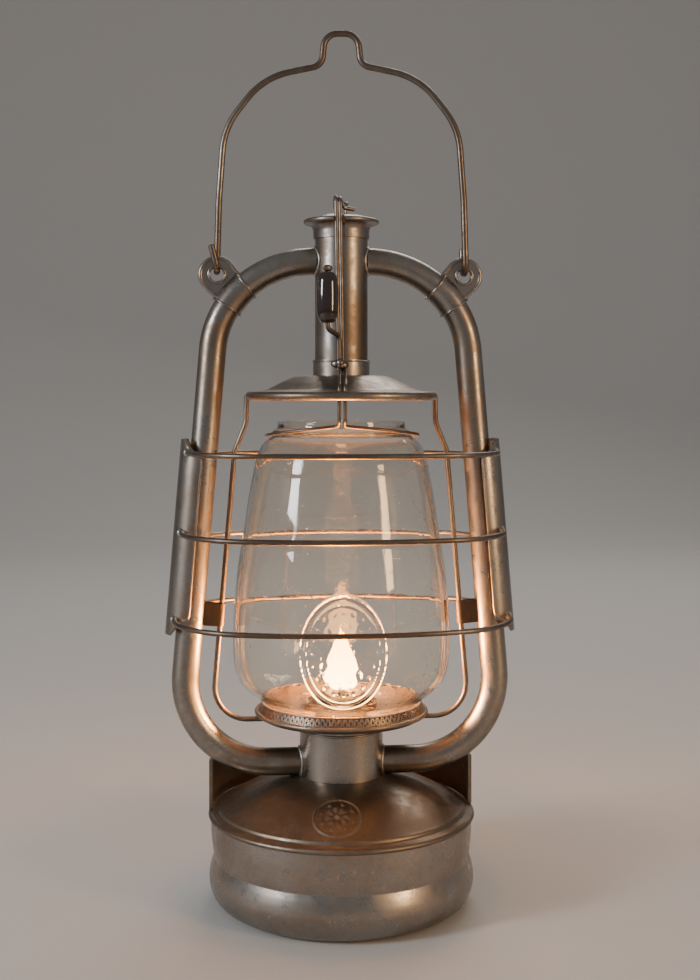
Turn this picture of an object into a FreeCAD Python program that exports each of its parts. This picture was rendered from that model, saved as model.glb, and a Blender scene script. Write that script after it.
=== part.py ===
import FreeCAD, Part
import math
import os
from FreeCAD import Vector

# Hot-blast barn lantern in aged tinplate, in millimetres.
# Origin: centre of the underside of the fount. +Z up, -Y front, +X the right-hand side tube.
# The root is the fount, the two side tubes and the chimney. The carriage (hood, guide wires,
# gallery and globe) slides up the chimney to reach the wick.

# ---- driving dimensions ---------------------------------------------------------------
SHEET = 0.8                 # sheet thickness of the spun and folded pieces
FIT = 0.05                  # radial gap of pieces that fit in one another

FOOT_R = 51.0               # flat foot of the fount
BULGE_R = 60.8
BULGE_Z = 12.0
CREASE_R = 58.8
CREASE_Z = 21.7
WALL_R = 60.0
WALL_Z = 33.0
RIM_Z = 40.4                # centre of the crimped rim
RIM_R = 60.1
RIM_BEAD = 1.2
DOME_FOOT_R = 57.0
DOME_FOOT_Z = 42.4
DOME_MID_R = 38.8
DOME_MID_Z = 52.0
SKIRT_R = 60.8
SKIRT_SIDE_Z = 64.5
SKIRT_BACK_Z = 53.0
HEM_WIDTH = 3.0             # folded edge at each end of the skirt

FILLER_Y = 46.0
FILLER_BORE_R = 7.0
FILLER_NECK_R = 7.8
FILLER_NECK_FOOT = 46.0
FILLER_NECK_TOP = 57.0
CAP_R = 9.6
CAP_GRIP = 3.2              # how far the cap's skirt reaches down over the neck
CAP_TOP = 62.6
CAP_GROOVES = 24
GASKET_THICK = 1.1
ROSETTE_PLACE = (-5.1, -43.0, 50.05)
ROSETTE_TILT = 23.0
ROSETTE_RING_R = 10.4
ROSETTE_BOSS_R = 2.6

CHAMBER_R = 19.2
CHAMBER_BASE_Z = 57.45
CHAMBER_TOP_Z = 80.0

TUBE_R = 6.3
TUBE_WALL = 0.7
TUBE_TOP_Z = 294.2
TUBE_FOOT_Z = 63.2
TUBE_LEAN = 4.7             # degrees that the long runs lean outwards
TOP_BEND_R = 50.0
TOP_BEND = 40.0
SHOULDER_BEND_R = 42.6
FOOT_BEND_R = 38.0

EAR_SWEEP = 17.3            # degrees of the shoulder bend under the ear's sleeve
EAR_X = 57.4
EAR_Z = 287.8
EAR_R = 8.5
EAR_HOLE_R = 3.2
EAR_THICK = 1.4
EAR_COLLAR_THICK = 2.2

CHIMNEY_R = 12.2
CHIMNEY_FOOT_Z = 236.0
CHIMNEY_TOP_Z = 310.0
FLANGE_R = 16.4
FLANGE_Z = 312.4
LID_TOP_Z = 317.0
NOTCH_WIDTH = 5.3

BAIL_WIRE_R = 1.5
BAIL_HOOK_R = 4.7
HOOK_END = 7.0              # straight end of each hook
HOOK_SPREAD = 2.5           # how far the left hook's end stands out

HOOD_NECK_R = 12.7
HOOD_TOP_Z = 241.3
HOOD_BEAD_R = 42.4
HOOD_BEAD_Z = 231.9
HOOD_BEAD = 2.0
COLLAR_R = 13.1
COLLAR_BORE_R = 12.55
COLLAR_TOP_Z = 248.6

GUIDE_WIRE_R = 1.2
GUIDE_LOW_Z = 83.0
GALLERY_FLOOR_Z = 84.6
GALLERY_R = 39.0
GALLERY_RIM_Z = 86.6
GALLERY_TOP_R = 36.9
GALLERY_TOP_Z = 91.0
GALLERY_HOLE_R = 21.5

GLASS = 2.0
GLOBE_FOOT_Z = 85.05
GLOBE_FOOT_R = 35.6
GLOBE_TOP_Z = 220.2
GLOBE_TOP_R = 29.4

GUARD_WIRE_R = 1.2
GUARD_FRONT_Z = {"top": 206.3, "middle": 170.1, "bottom": 130.7}
GUARD_REAR_Z = {"top": 203.5, "middle": 163.5, "bottom": 130.6}
GUARD_DEPTH = 57.7
GUARD_FACE_R = 165.0        # flat bend across the front of a guard wire
GUARD_CORNER_R = 40.0
GUARD_END_HEADING = 85.0
GUARD_END_Y = 7.2
GUARD_END_OUT = 7.4         # outside the tube's axis
GUARD_TUCK = 0.9            # how far the last stretch leans in to the plate
PLATE_R = 11.0
PLATE_LOW_Z = 122.5
PLATE_HIGH_Z = 211.5
PLATE_TIP = 7.0             # height of the sloped corners
RIB_INSET = 16.5            # from the plate's end to the rib that stands on the tube

CLIP_LOW_Z = 127.2
CLIP_HIGH_Z = 137.6
CLIP_SHEET = 0.6
CLIP_PLAY = 0.5             # room round the guide wire
CLIP_WIRE_X = 56.0

ROD_R = 0.95
ROD_PITCH = 1.8             # between the two strands of the lift rod
ROD_TOP_Z = 322.4
ARM_R = 1.1
PEEN_R = 2.0
ROD_Y = -14.6
GRIP_X = -8.1
GRIP_Y = -25.0
GRIP_Z = 275.8
GRIP_R = 5.0
GRIP_LENGTH = 22.6
SPRING_WIRE_R = 0.8
SPRING_REACH = 34.6         # side and front reach of the springs on the globe's shoulder
SPRING_OUT = 38.6
SPRING_PITCH = 1.3

BURNER_R = 15.0
BURNER_FLOOR_Z = 61.0
SPIGOT_R = 8.2
SPIGOT_FOOT_Z = 51.0
SOCKET_R = 9.35
BURNER_HOLES = 12
BURNER_HOLE_R = 1.6
DRAFT_HOLES = 24
CONE_SHOULDER = (12.4, 91.0)
CONE_TOP = (2.0, 96.6)
WICK_TUBE_TOP_Z = 96.0
WICK_TUBE_SHEET = 0.6

SHAFT_X = 5.4
SHAFT_Z = 72.0
SHAFT_R = 1.2
STAR_R = 4.0
STAR_TEETH = 10
STAR_TOOTH = 1.1
STAR_THICK = 1.6
STAR_INSET = 2.8
KNOB_NOTCHES = 20
KNOB_R = 7.0
KNOB_Y = 25.5
KNOB_WIDTH = 6.0
WICK_WIDTH = 14.0
WICK_THICK = 2.4
WICK_FOOT_Z = 26.0
WICK_TOP_Z = 99.0

TURN = 360.0


# ---- shared forming steps -------------------------------------------------------------
def run(length):
    """A straight stretch of a bent wire or tube."""
    return ("run", length)


def bend(radius, degrees):
    """A bend of a wire or tube; positive degrees turn it clockwise."""
    return ("bend", radius, degrees)


def bent_line(start, heading, steps, place):
    """The centreline made by runs and bends in a plane; place(u, v) sets it in space."""
    u, v = start
    edges = []
    for step in steps:
        along = math.radians(heading)
        if step[0] == "run":
            nu = u + step[1] * math.cos(along)
            nv = v + step[1] * math.sin(along)
            edges.append(Part.LineSegment(place(u, v), place(nu, nv)).toShape())
        else:
            radius, degrees = step[1], step[2]
            side = math.copysign(1.0, degrees)
            cu = u + side * radius * math.sin(along)
            cv = v - side * radius * math.cos(along)
            points = []
            for part in (0.0, 0.5, 1.0):
                turned = math.radians(heading - part * degrees)
                points.append(place(cu - side * radius * math.sin(turned),
                                    cv + side * radius * math.cos(turned)))
            edges.append(Part.Arc(*points).toShape())
            heading -= degrees
            nu = cu - side * radius * math.sin(math.radians(heading))
            nv = cv + side * radius * math.cos(math.radians(heading))
        u, v = nu, nv
    return Part.Wire(edges)


def rounded_line(points, radii):
    """Straight runs between the points, joined by tangent arcs of the given radii."""
    points = [Vector(*p) for p in points]
    edges = []
    last = points[0]
    for corner, before, after, radius in zip(points[1:-1], points[:-2], points[2:], radii):
        back = (before - corner).normalize()
        ahead = (after - corner).normalize()
        half = back.getAngle(ahead) / 2
        reach = radius / math.tan(half)
        enter = corner + back * reach
        leave = corner + ahead * reach
        inward = (back + ahead).normalize()
        middle = corner + inward * (radius / math.sin(half) - radius)
        if last.distanceToPoint(enter) > 0.01:
            edges.append(Part.LineSegment(last, enter).toShape())
        edges.append(Part.Arc(enter, middle, leave).toShape())
        last = leave
    edges.append(Part.LineSegment(last, points[-1]).toShape())
    return Part.Wire(edges)


def swept(line, rings):
    """Solid swept along straight and round edges; the first ring is the outside."""
    pieces = []
    for edge in line.Edges:
        low, high = edge.FirstParameter, edge.LastParameter
        start = edge.valueAt(low)
        along = edge.tangentAt(low)
        discs = [Part.Face(Part.Wire(Part.makeCircle(size, start, along))) for size in rings]
        section = discs[0].cut(discs[1]).Faces[0] if discs[1:] else discs[0]
        if isinstance(edge.Curve, Part.Circle):
            pieces.append(section.revolve(edge.Curve.Center, edge.Curve.Axis,
                                          math.degrees(high - low)))
        else:
            pieces.append(section.extrude(edge.valueAt(high) - start))
    return pieces[0].fuse(pieces[1:]) if pieces[1:] else pieces[0]


def round_bar(line, radius):
    """Round wire along a centreline."""
    return swept(line, [radius])


def round_tube(line, radius, wall):
    """Hollow tube along a centreline."""
    return swept(line, [radius, radius - wall])


def spun(profile):
    """A closed outline in the XZ plane turned about the Z axis."""
    edges = []
    for edge in profile.OrderedEdges:
        straight = isinstance(edge.Curve, Part.Line)
        edges.append(edge if straight else edge.toNurbs().Edges[0])
    return Part.Face(Part.Wire(edges)).revolve(Vector(0, 0, 0), Vector(0, 0, 1), TURN)


def outline(items):
    """A chain of edges from points (r, z); a nested triple is an arc through its points."""
    edges = []
    last = None
    for item in items:
        if isinstance(item[0], tuple):
            a, b, c = [Vector(r, 0, z) for r, z in item]
            if last is not None and last.distanceToPoint(a) > 0.001:
                edges.append(Part.LineSegment(last, a).toShape())
            edges.append(Part.Arc(a, b, c).toShape())
            last = c
        else:
            point = Vector(item[0], 0, item[1])
            if last is not None:
                edges.append(Part.LineSegment(last, point).toShape())
            last = point
    return edges


def spun_sheet(items, thickness=SHEET):
    """Sheet metal spun to an outline: the outline is one face, the sheet lies beside it."""
    strip = Part.Wire(outline(items)).makeOffset2D(thickness, 0, True, True)
    return spun(strip.Faces[0].OuterWire)


def disc(radius, low, high, x=0.0, y=0.0):
    return Part.makeCylinder(radius, high - low, Vector(x, y, low))


def ring(outer, inner, low, high, x=0.0, y=0.0):
    return disc(outer, low, high, x, y).cut(disc(inner, low, high, x, y))


def bead(radius, thick, z):
    return Part.makeTorus(radius, thick, Vector(0, 0, z))


def mirrored(shape):
    """The left-hand twin of a right-hand piece."""
    return shape.mirror(Vector(0, 0, 0), Vector(1, 0, 0))


def turned_round(shape):
    """The rear twin of a front piece."""
    return shape.mirror(Vector(0, 0, 0), Vector(0, 1, 0))


def upright(x, z):
    return Vector(x, 0, z)


# ---- side tubes -----------------------------------------------------------------------
LEAN_SIN = math.sin(math.radians(90 - TUBE_LEAN))
FOOT_BEND_START_Z = TUBE_FOOT_Z + FOOT_BEND_R * (1 + math.sin(math.radians(TUBE_LEAN)))


def point_on_bend(start, heading, radius, degrees):
    """Where a clockwise bend ends."""
    before = math.radians(heading)
    after = math.radians(heading - degrees)
    x = start[0] + radius * (math.sin(before) - math.sin(after))
    z = start[1] + radius * (math.cos(after) - math.cos(before))
    return (x, z)


TUBE_START = (CHIMNEY_R - 1.5, TUBE_TOP_Z)
EAR_START = point_on_bend((TUBE_START[0] + 1.5, TUBE_TOP_Z), 0, TOP_BEND_R, TOP_BEND)
EAR_MIDDLE = point_on_bend(EAR_START, -TOP_BEND, SHOULDER_BEND_R, EAR_SWEEP / 2)
SHOULDER_END = point_on_bend(EAR_START, -TOP_BEND, SHOULDER_BEND_R, 90 - TUBE_LEAN - TOP_BEND)
LONG_RUN = (SHOULDER_END[1] - FOOT_BEND_START_Z) / LEAN_SIN


def tube_axis_x(z):
    """Where the axis of the right-hand tube's long run is at a height."""
    return SHOULDER_END[0] + (SHOULDER_END[1] - z) * math.tan(math.radians(TUBE_LEAN))


def upper_tube():
    """Top bend of a side tube, from the chimney to the middle of the ear's sleeve."""
    steps = [run(1.5), bend(TOP_BEND_R, TOP_BEND), bend(SHOULDER_BEND_R, EAR_SWEEP / 2)]
    tube = round_tube(bent_line(TUBE_START, 0, steps, upright), TUBE_R, TUBE_WALL)
    return tube.cut(disc(CHIMNEY_R + FIT, TUBE_TOP_Z - 20, TUBE_TOP_Z + 20))


def lower_tube(dome):
    """Side tube from the ear down to the air chamber, where it rests on the dome."""
    heading = -(TOP_BEND + EAR_SWEEP / 2)
    foot_x = SHOULDER_END[0] + LONG_RUN * math.sin(math.radians(TUBE_LEAN))
    foot_x -= FOOT_BEND_R * math.cos(math.radians(TUBE_LEAN))
    steps = [bend(SHOULDER_BEND_R, 90 - TUBE_LEAN + heading), run(LONG_RUN),
             bend(FOOT_BEND_R, 90 + TUBE_LEAN), run(foot_x - CHAMBER_R + 1.5)]
    tube = round_tube(bent_line(EAR_MIDDLE, heading, steps, upright), TUBE_R, TUBE_WALL)
    return tube.cut([disc(CHAMBER_R + FIT, TUBE_FOOT_Z - 20, TUBE_FOOT_Z + 20), dome])


def ear():
    """Sleeve over the joint of the two tubes, with the pierced ear that the bail hooks in."""
    steps = [bend(SHOULDER_BEND_R, EAR_SWEEP)]
    line = bent_line(EAR_START, -TOP_BEND, steps, upright)
    sleeve = round_bar(line, TUBE_R + SHEET)
    plate = Part.makeCylinder(EAR_R, EAR_THICK, Vector(EAR_X, EAR_THICK / 2, EAR_Z), Vector(0, -1, 0))
    web = Part.makePolygon([Vector(x, -EAR_THICK / 2, z) for x, z in (
        (EAR_MIDDLE[0] - 5.0, EAR_MIDDLE[1] + 6.5), (EAR_X - 6.5, EAR_Z + 5.5),
        (EAR_X + 5.0, EAR_Z - 6.9), (EAR_MIDDLE[0] + 7.5, EAR_MIDDLE[1] - 2.5),
        (EAR_MIDDLE[0] - 5.0, EAR_MIDDLE[1] + 6.5))])
    web = Part.Face(web).extrude(Vector(0, EAR_THICK, 0))
    collar = Part.makeCylinder(EAR_HOLE_R + 1.0, EAR_COLLAR_THICK,
                               Vector(EAR_X, EAR_COLLAR_THICK / 2, EAR_Z), Vector(0, -1, 0))
    hole = Part.makeCylinder(EAR_HOLE_R, 10, Vector(EAR_X, 5, EAR_Z), Vector(0, -1, 0))
    shape = sleeve.fuse([plate, web, collar]).cut(hole)
    inside = bent_line(TUBE_START, 0, [run(1.5), bend(TOP_BEND_R, TOP_BEND),
                                       bend(SHOULDER_BEND_R, 2 * EAR_SWEEP)], upright)
    return shape.cut(round_bar(inside, TUBE_R + FIT))


# ---- fount ----------------------------------------------------------------------------
def fount_top():
    """Domed cover of the fount with its crimped rim, filler hole and pressed rosette."""
    dome = spun_sheet([(9.4, 58.2 - SHEET), ((19.2, 57.3 - SHEET), (DOME_MID_R, DOME_MID_Z - SHEET),
                                             (DOME_FOOT_R, DOME_FOOT_Z - SHEET)),
                       (RIM_R, RIM_Z + 0.6)])
    shape = dome.fuse(bead(RIM_R, RIM_BEAD, RIM_Z))
    for part in rosette():
        shape = shape.fuse(part)
    return shape.cut(disc(FILLER_NECK_R + FIT, RIM_Z, CAP_TOP, 0, FILLER_Y))


def rosette():
    """Round stamped mark on the front of the dome: a ring and a plain boss."""
    tilt = FreeCAD.Rotation(Vector(1, 0, 0), ROSETTE_TILT)
    place = FreeCAD.Placement(Vector(*ROSETTE_PLACE), tilt)
    parts = [Part.makeTorus(ROSETTE_RING_R, 0.7),
             Part.makeCylinder(ROSETTE_BOSS_R, 1.9, Vector(0, 0, -1.0))]
    for part in parts:
        part.Placement = place
    return parts


def fount_pan(top):
    """Drawn side wall of the fount: foot, bulge, crease and rim band."""
    wall = spun_sheet([(FOOT_R - 5.0, 0.0), (FOOT_R, 0.0),
                       ((FOOT_R, 0.0), (BULGE_R - 2.4, 3.4), (BULGE_R, BULGE_Z)),
                       (CREASE_R, CREASE_Z), (WALL_R, WALL_Z), (WALL_R, RIM_Z - 0.5)])
    return wall.cut(top)


def fount_base():
    """Bottom plate soldered inside the foot, its middle raised above the ground."""
    return disc(FOOT_R - 1.0, SHEET, 2.4).cut(disc(FOOT_R - 6.0, 0, 1.4))


def filler_neck():
    """Short neck soldered in the dome behind the air chamber, its bore open to the fount."""
    return ring(FILLER_NECK_R, FILLER_BORE_R, FILLER_NECK_FOOT, FILLER_NECK_TOP, 0, FILLER_Y)


def filler_cap():
    """Screw cap of the filler with a milled edge."""
    skirt_z = FILLER_NECK_TOP - CAP_GRIP
    cap = disc(CAP_R, skirt_z, CAP_TOP - 1.0, 0, FILLER_Y)
    crown = Part.makeCone(CAP_R, CAP_R - 3.0, 1.0, Vector(0, FILLER_Y, CAP_TOP - 1.0))
    cap = cap.fuse(crown)
    cap = cap.cut(disc(FILLER_NECK_R + 0.35, FILLER_NECK_FOOT, FILLER_NECK_TOP + 0.1 + GASKET_THICK,
                       0, FILLER_Y))
    for index in range(CAP_GROOVES):
        angle = 2 * math.pi * index / CAP_GROOVES
        x = CAP_R * math.cos(angle)
        y = FILLER_Y + CAP_R * math.sin(angle)
        cap = cap.cut(disc(0.45, skirt_z, CAP_TOP - 1.4, x, y))
    return cap


def cap_gasket():
    """Cork ring in the cap that seals on the neck."""
    return ring(FILLER_NECK_R + 0.2, FILLER_BORE_R - 1.5, FILLER_NECK_TOP + 0.1,
                FILLER_NECK_TOP + 0.1 + GASKET_THICK, 0, FILLER_Y)


def rear_skirt(tubes):
    """Half round apron behind the fount that ties its rim to the side tubes."""
    band = ring(SKIRT_R, SKIRT_R - SHEET, RIM_Z + RIM_BEAD + 0.3, SKIRT_SIDE_Z)
    box = Part.makeBox(200, 100, 100, Vector(-100, 0, 0))
    slope = Part.makePolygon([Vector(-100, y, z) for y, z in (
        (6, SKIRT_SIDE_Z), (SKIRT_R, SKIRT_BACK_Z), (80, SKIRT_BACK_Z), (80, 90), (6, 90),
        (6, SKIRT_SIDE_Z))])
    slope = Part.Face(slope).extrude(Vector(200, 0, 0))
    band = band.common(box).cut(slope)
    hems = []
    for side in (-1, 1):
        hem = Part.makeBox(2 * SHEET, HEM_WIDTH, SKIRT_SIDE_Z - RIM_Z - 2.0, Vector(-SHEET, 0, 0))
        hem.translate(Vector(side * (SKIRT_R - 0.6), 0, RIM_Z + 1.6))
        hems.append(hem)
    return band.fuse(hems).cut(tubes)


# ---- air chamber and burner -----------------------------------------------------------
def air_chamber():
    """Short drum under the globe where both side tubes deliver air to the burner."""
    drum = ring(CHAMBER_R, CHAMBER_R - SHEET, CHAMBER_BASE_Z, CHAMBER_TOP_Z)
    drum = drum.fuse(bead(CHAMBER_R - 0.1, 0.6, CHAMBER_TOP_Z - 1.6))
    drum = drum.cut(disc(CHAMBER_R - SHEET, 40, 100))
    bore = Part.makeCylinder(TUBE_R - TUBE_WALL, 60, Vector(-30, 0, TUBE_FOOT_Z), Vector(1, 0, 0))
    shaft = Part.makeCylinder(SHAFT_R + 0.05, 30, Vector(SHAFT_X, 5, SHAFT_Z), Vector(0, 1, 0))
    return drum.cut([bore, shaft])


def burner_socket():
    """Collar in the dome that the burner screws into."""
    return ring(SOCKET_R, SPIGOT_R + 0.1, SPIGOT_FOOT_Z - 1.0, BURNER_FLOOR_Z - 0.4)


def burner_body():
    """Drum of the burner, pierced for air, with the spigot that drops in the socket."""
    drum = disc(BURNER_R, BURNER_FLOOR_Z, CHAMBER_TOP_Z - 1.0)
    drum = drum.cut(disc(BURNER_R - SHEET, BURNER_FLOOR_Z + SHEET, CHAMBER_TOP_Z))
    spigot = disc(SPIGOT_R, SPIGOT_FOOT_Z, BURNER_FLOOR_Z)
    slot = Part.makeBox(WICK_THICK + 0.8, WICK_WIDTH + 0.8, 20,
                        Vector(-WICK_THICK / 2 - 0.4, -WICK_WIDTH / 2 - 0.4, SPIGOT_FOOT_Z - 1))
    shape = drum.fuse(spigot).cut(slot)
    for index in range(BURNER_HOLES):
        angle = TURN / BURNER_HOLES * (index + 0.5)
        hole = Part.makeCylinder(BURNER_HOLE_R, 4, Vector(BURNER_R - 2.5, 0, BURNER_FLOOR_Z + 5.5),
                                 Vector(1, 0, 0))
        hole.rotate(Vector(0, 0, 0), Vector(0, 0, 1), angle)
        shape = shape.cut(hole)
    shaft = Part.makeCylinder(SHAFT_R + 0.05, 40, Vector(SHAFT_X, -20, SHAFT_Z), Vector(0, 1, 0))
    return shape.cut(shaft)


def draft_plate():
    """Perforated ring between the burner and the drum that spreads the air."""
    low = CHAMBER_TOP_Z - 2.4
    inner = BURNER_R + 0.1
    plate = ring(CHAMBER_R - SHEET - FIT, inner, low, low + SHEET)
    middle = (CHAMBER_R - SHEET + inner) / 2
    for index in range(DRAFT_HOLES):
        angle = 2 * math.pi * index / DRAFT_HOLES
        plate = plate.cut(disc(0.7, low - 1, low + 2, middle * math.cos(angle), middle * math.sin(angle)))
    return plate


def burner_cone():
    """Slotted dome over the wick that draws the air across the flame."""
    foot_z = CHAMBER_TOP_Z - 0.9
    cone = spun_sheet([(BURNER_R, foot_z), (BURNER_R, foot_z + 2.9),
                       ((BURNER_R, foot_z + 2.9), CONE_SHOULDER, CONE_TOP)])
    width = WICK_THICK + 3.6
    length = WICK_WIDTH + 5.0
    slot = Part.makeBox(width, length, 20.0, Vector(-width / 2, -length / 2, CONE_SHOULDER[1] - 3))
    return cone.cut(slot)


def wick_tube_block(inset):
    """Flat block of the wick tube's outside, less an inset all round."""
    wide = WICK_WIDTH + 2.6 - 2 * inset
    thick = WICK_THICK + 2.4 - 2 * inset
    foot_z = BURNER_FLOOR_Z + SHEET
    return Part.makeBox(thick, wide, WICK_TUBE_TOP_Z - foot_z, Vector(-thick / 2, -wide / 2, foot_z))


def wick_tube():
    """Flat tube that holds the wick, open where the star wheels bite."""
    tube = wick_tube_block(0.0).cut(wick_tube_block(WICK_TUBE_SHEET))
    window = Part.makeBox(3.0, 12.0, 11.0, Vector(1.5, -6.0, SHAFT_Z - 5.5))
    return tube.cut(window)


def wick():
    """Woven cotton wick, from the fuel to the flame."""
    return Part.makeBox(WICK_THICK, WICK_WIDTH, WICK_TOP_Z - WICK_FOOT_Z,
                        Vector(-WICK_THICK / 2, -WICK_WIDTH / 2, WICK_FOOT_Z))


def wick_shaft():
    """Wire spindle of the wick wheels, out through the rear of the air chamber."""
    return Part.makeCylinder(SHAFT_R, KNOB_Y + KNOB_WIDTH + 7.0,
                             Vector(SHAFT_X, -7.0, SHAFT_Z), Vector(0, 1, 0))


def star_wheels():
    """Two toothed wheels that climb the wick."""
    wheels = []
    for y in (-STAR_INSET - STAR_THICK, STAR_INSET):
        points = []
        for index in range(2 * STAR_TEETH + 1):
            angle = math.pi * index / STAR_TEETH
            radius = STAR_R if index % 2 else STAR_R - STAR_TOOTH
            points.append(Vector(SHAFT_X + radius * math.cos(angle), y,
                                 SHAFT_Z + radius * math.sin(angle)))
        star = Part.Face(Part.makePolygon(points)).extrude(Vector(0, STAR_THICK, 0))
        bore = Part.makeCylinder(SHAFT_R, 6, Vector(SHAFT_X, y - 2, SHAFT_Z), Vector(0, 1, 0))
        wheels.append(star.cut(bore))
    return Part.makeCompound(wheels)


def wick_knob():
    """Thin milled knob at the back."""
    knob = Part.makeCylinder(KNOB_R, KNOB_WIDTH - 4.0, Vector(SHAFT_X, KNOB_Y, SHAFT_Z), Vector(0, 1, 0))
    hub = Part.makeCylinder(3.0, KNOB_WIDTH, Vector(SHAFT_X, KNOB_Y, SHAFT_Z), Vector(0, 1, 0))
    knob = knob.fuse(hub)
    for index in range(KNOB_NOTCHES):
        angle = 2 * math.pi * index / KNOB_NOTCHES
        x = SHAFT_X + KNOB_R * math.cos(angle)
        z = SHAFT_Z + KNOB_R * math.sin(angle)
        knob = knob.cut(Part.makeCylinder(0.5, 10, Vector(x, KNOB_Y - 2, z), Vector(0, 1, 0)))
    return knob.cut(Part.makeCylinder(SHAFT_R, 20, Vector(SHAFT_X, KNOB_Y - 5, SHAFT_Z),
                                      Vector(0, 1, 0)))


# ---- chimney --------------------------------------------------------------------------
def rod_notch():
    """Slot at the front of the chimney's flange and lid that the lift rod passes."""
    return Part.makeBox(NOTCH_WIDTH, 12.0, 16.0, Vector(-4.8, ROD_Y - 10.1, 304.0))


def chimney_tube():
    """Plain tube that carries the hot air up to the side tubes."""
    tube = ring(CHIMNEY_R, CHIMNEY_R - SHEET, CHIMNEY_FOOT_Z, CHIMNEY_TOP_Z)
    bore = Part.makeCylinder(TUBE_R - TUBE_WALL, 60, Vector(-30, 0, TUBE_TOP_Z), Vector(1, 0, 0))
    return tube.cut(bore)


def chimney_flange():
    """Flared collar at the top of the chimney, its edge curled."""
    cone = spun_sheet([(CHIMNEY_R, 304.5), (CHIMNEY_R, 308.0),
                       ((CHIMNEY_R, 308.0), (13.4, 310.9), (FLANGE_R, FLANGE_Z))], -SHEET)
    return cone.fuse(bead(FLANGE_R, 1.1, FLANGE_Z)).cut(rod_notch())


def chimney_lid(flange):
    """Shallow domed lid on the flange."""
    lid = spun_sheet([(0.0, LID_TOP_Z - SHEET),
                      ((0.0, LID_TOP_Z - SHEET), (8.5, LID_TOP_Z - 1.5), (14.6, FLANGE_Z + 0.9))])
    return lid.cut([flange, rod_notch()])


def lid_staple():
    """Wire eye soldered on the lid, beside the rod's hook."""
    line = rounded_line([(2.4, 1.0, LID_TOP_Z + 0.05), (2.4, 1.0, 321.6), (2.4, 5.6, 321.6),
                         (2.4, 5.6, 316.7)], [2.0, 2.0])
    return round_bar(line, 0.9)


# ---- guard ----------------------------------------------------------------------------
def guard_wire(z):
    """One horizontal guard wire: a flat bend across the front and two tight corners."""
    half_width = tube_axis_x(z) + GUARD_END_OUT
    heading = math.radians(GUARD_END_HEADING)
    reach = half_width - GUARD_CORNER_R * math.sin(heading)
    depth = GUARD_DEPTH - GUARD_END_Y - GUARD_CORNER_R * (1 - math.cos(heading))
    spread = GUARD_FACE_R - GUARD_CORNER_R
    face = math.asin((reach - GUARD_TUCK) / spread)
    straight = (depth - spread * (1 - math.cos(face))) / math.sin(heading)
    end = math.degrees(face)
    steps = [run(straight), bend(GUARD_CORNER_R, -(GUARD_END_HEADING - end)),
             bend(GUARD_FACE_R, -2 * end), bend(GUARD_CORNER_R, -(GUARD_END_HEADING - end)),
             run(straight)]
    start_x = -(reach - GUARD_TUCK + GUARD_CORNER_R * math.sin(heading)
                + straight * math.cos(heading))
    line = bent_line((start_x, -GUARD_END_Y), -GUARD_END_HEADING, steps,
                     lambda u, v: Vector(u, v, z))
    return round_bar(line, GUARD_WIRE_R)


def leaning(z):
    """Placement on the tube's axis at a height, with the local Z along the tube."""
    return FreeCAD.Placement(Vector(tube_axis_x(z), 0, z),
                             FreeCAD.Rotation(Vector(0, 1, 0), -TUBE_LEAN))


def guard_plate(wires):
    """Half round gutter beside the tube, pierced for the six wire ends."""
    middle = (PLATE_LOW_Z + PLATE_HIGH_Z) / 2
    half = (PLATE_HIGH_Z - PLATE_LOW_Z) / 2 / LEAN_SIN
    gutter = ring(PLATE_R, PLATE_R - SHEET, -half, half)
    gutter = gutter.common(Part.makeBox(20, 40, 200, Vector(0.6, -20, -100)))
    for side in (-1, 1):
        for end in (-1, 1):
            corner = Part.makePolygon([Vector(0, y, z) for y, z in (
                (side * 12, end * (half + 1)), (side * 12, end * (half - PLATE_TIP)),
                (side * (PLATE_R - 0.6), end * (half - PLATE_TIP)),
                (side * (PLATE_R - 4.5), end * half), (side * (PLATE_R - 4.5), end * (half + 1)),
                (side * 12, end * (half + 1)))])
            gutter = gutter.cut(Part.Face(corner).extrude(Vector(8.2, 0, 0)))
    bridge_z = half - RIB_INSET
    for z in (-bridge_z, bridge_z - 2.0):
        rib = Part.makeBox(PLATE_R - TUBE_R - 0.6, 5.0, 2.0, Vector(TUBE_R - 0.4, -2.5, z))
        gutter = gutter.fuse(rib)
    gutter.Placement = leaning(middle)
    tube = Part.makeCylinder(TUBE_R, 200, Vector(0, 0, -100))
    tube.Placement = leaning(middle)
    return gutter.cut([tube] + wires)


def guide_clip():
    """Strip folded round the guide wire and soldered to the tube, so that the wire slides in it."""
    middle = (CLIP_LOW_Z + CLIP_HIGH_Z) / 2
    half = (CLIP_HIGH_Z - CLIP_LOW_Z) / 2
    loop_x = -(tube_axis_x(middle) - CLIP_WIRE_X)
    loop_r = GUIDE_WIRE_R + CLIP_PLAY
    outer = slot_face(loop_r + CLIP_SHEET, loop_x)
    clip = outer.cut(slot_face(loop_r, loop_x)).extrude(Vector(0, 0, 2 * half))
    clip = clip.cut(disc(TUBE_R + FIT, -1, 2 * half + 1))
    clip.translate(Vector(0, 0, -half))
    clip.Placement = leaning(middle).multiply(clip.Placement)
    return clip


def slot_face(radius, far_x):
    """Flat face of a slot with round ends, from the tube's axis to the guide wire."""
    web = Part.Face(Part.makePolygon([Vector(x, y, 0) for x, y in (
        (0, radius), (far_x, radius), (far_x, -radius), (0, -radius), (0, radius))]))
    end = Part.Face(Part.Wire(Part.makeCircle(radius, Vector(far_x, 0, 0))))
    return web.fuse(end).removeSplitter()


# ---- carriage -------------------------------------------------------------------------
def guide_wire():
    """Wire that ties the hood to the gallery and slides in its clip."""
    line = rounded_line([(43.8, 0, HOOD_BEAD_Z), (44.0, 0, 219.5), (49.3, 0, 206.5),
                         (59.7, 0, GUIDE_LOW_Z), (30.0, 0, GUIDE_LOW_Z)], [12.0, 10.0, 15.0])
    return round_bar(line, GUIDE_WIRE_R)


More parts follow.
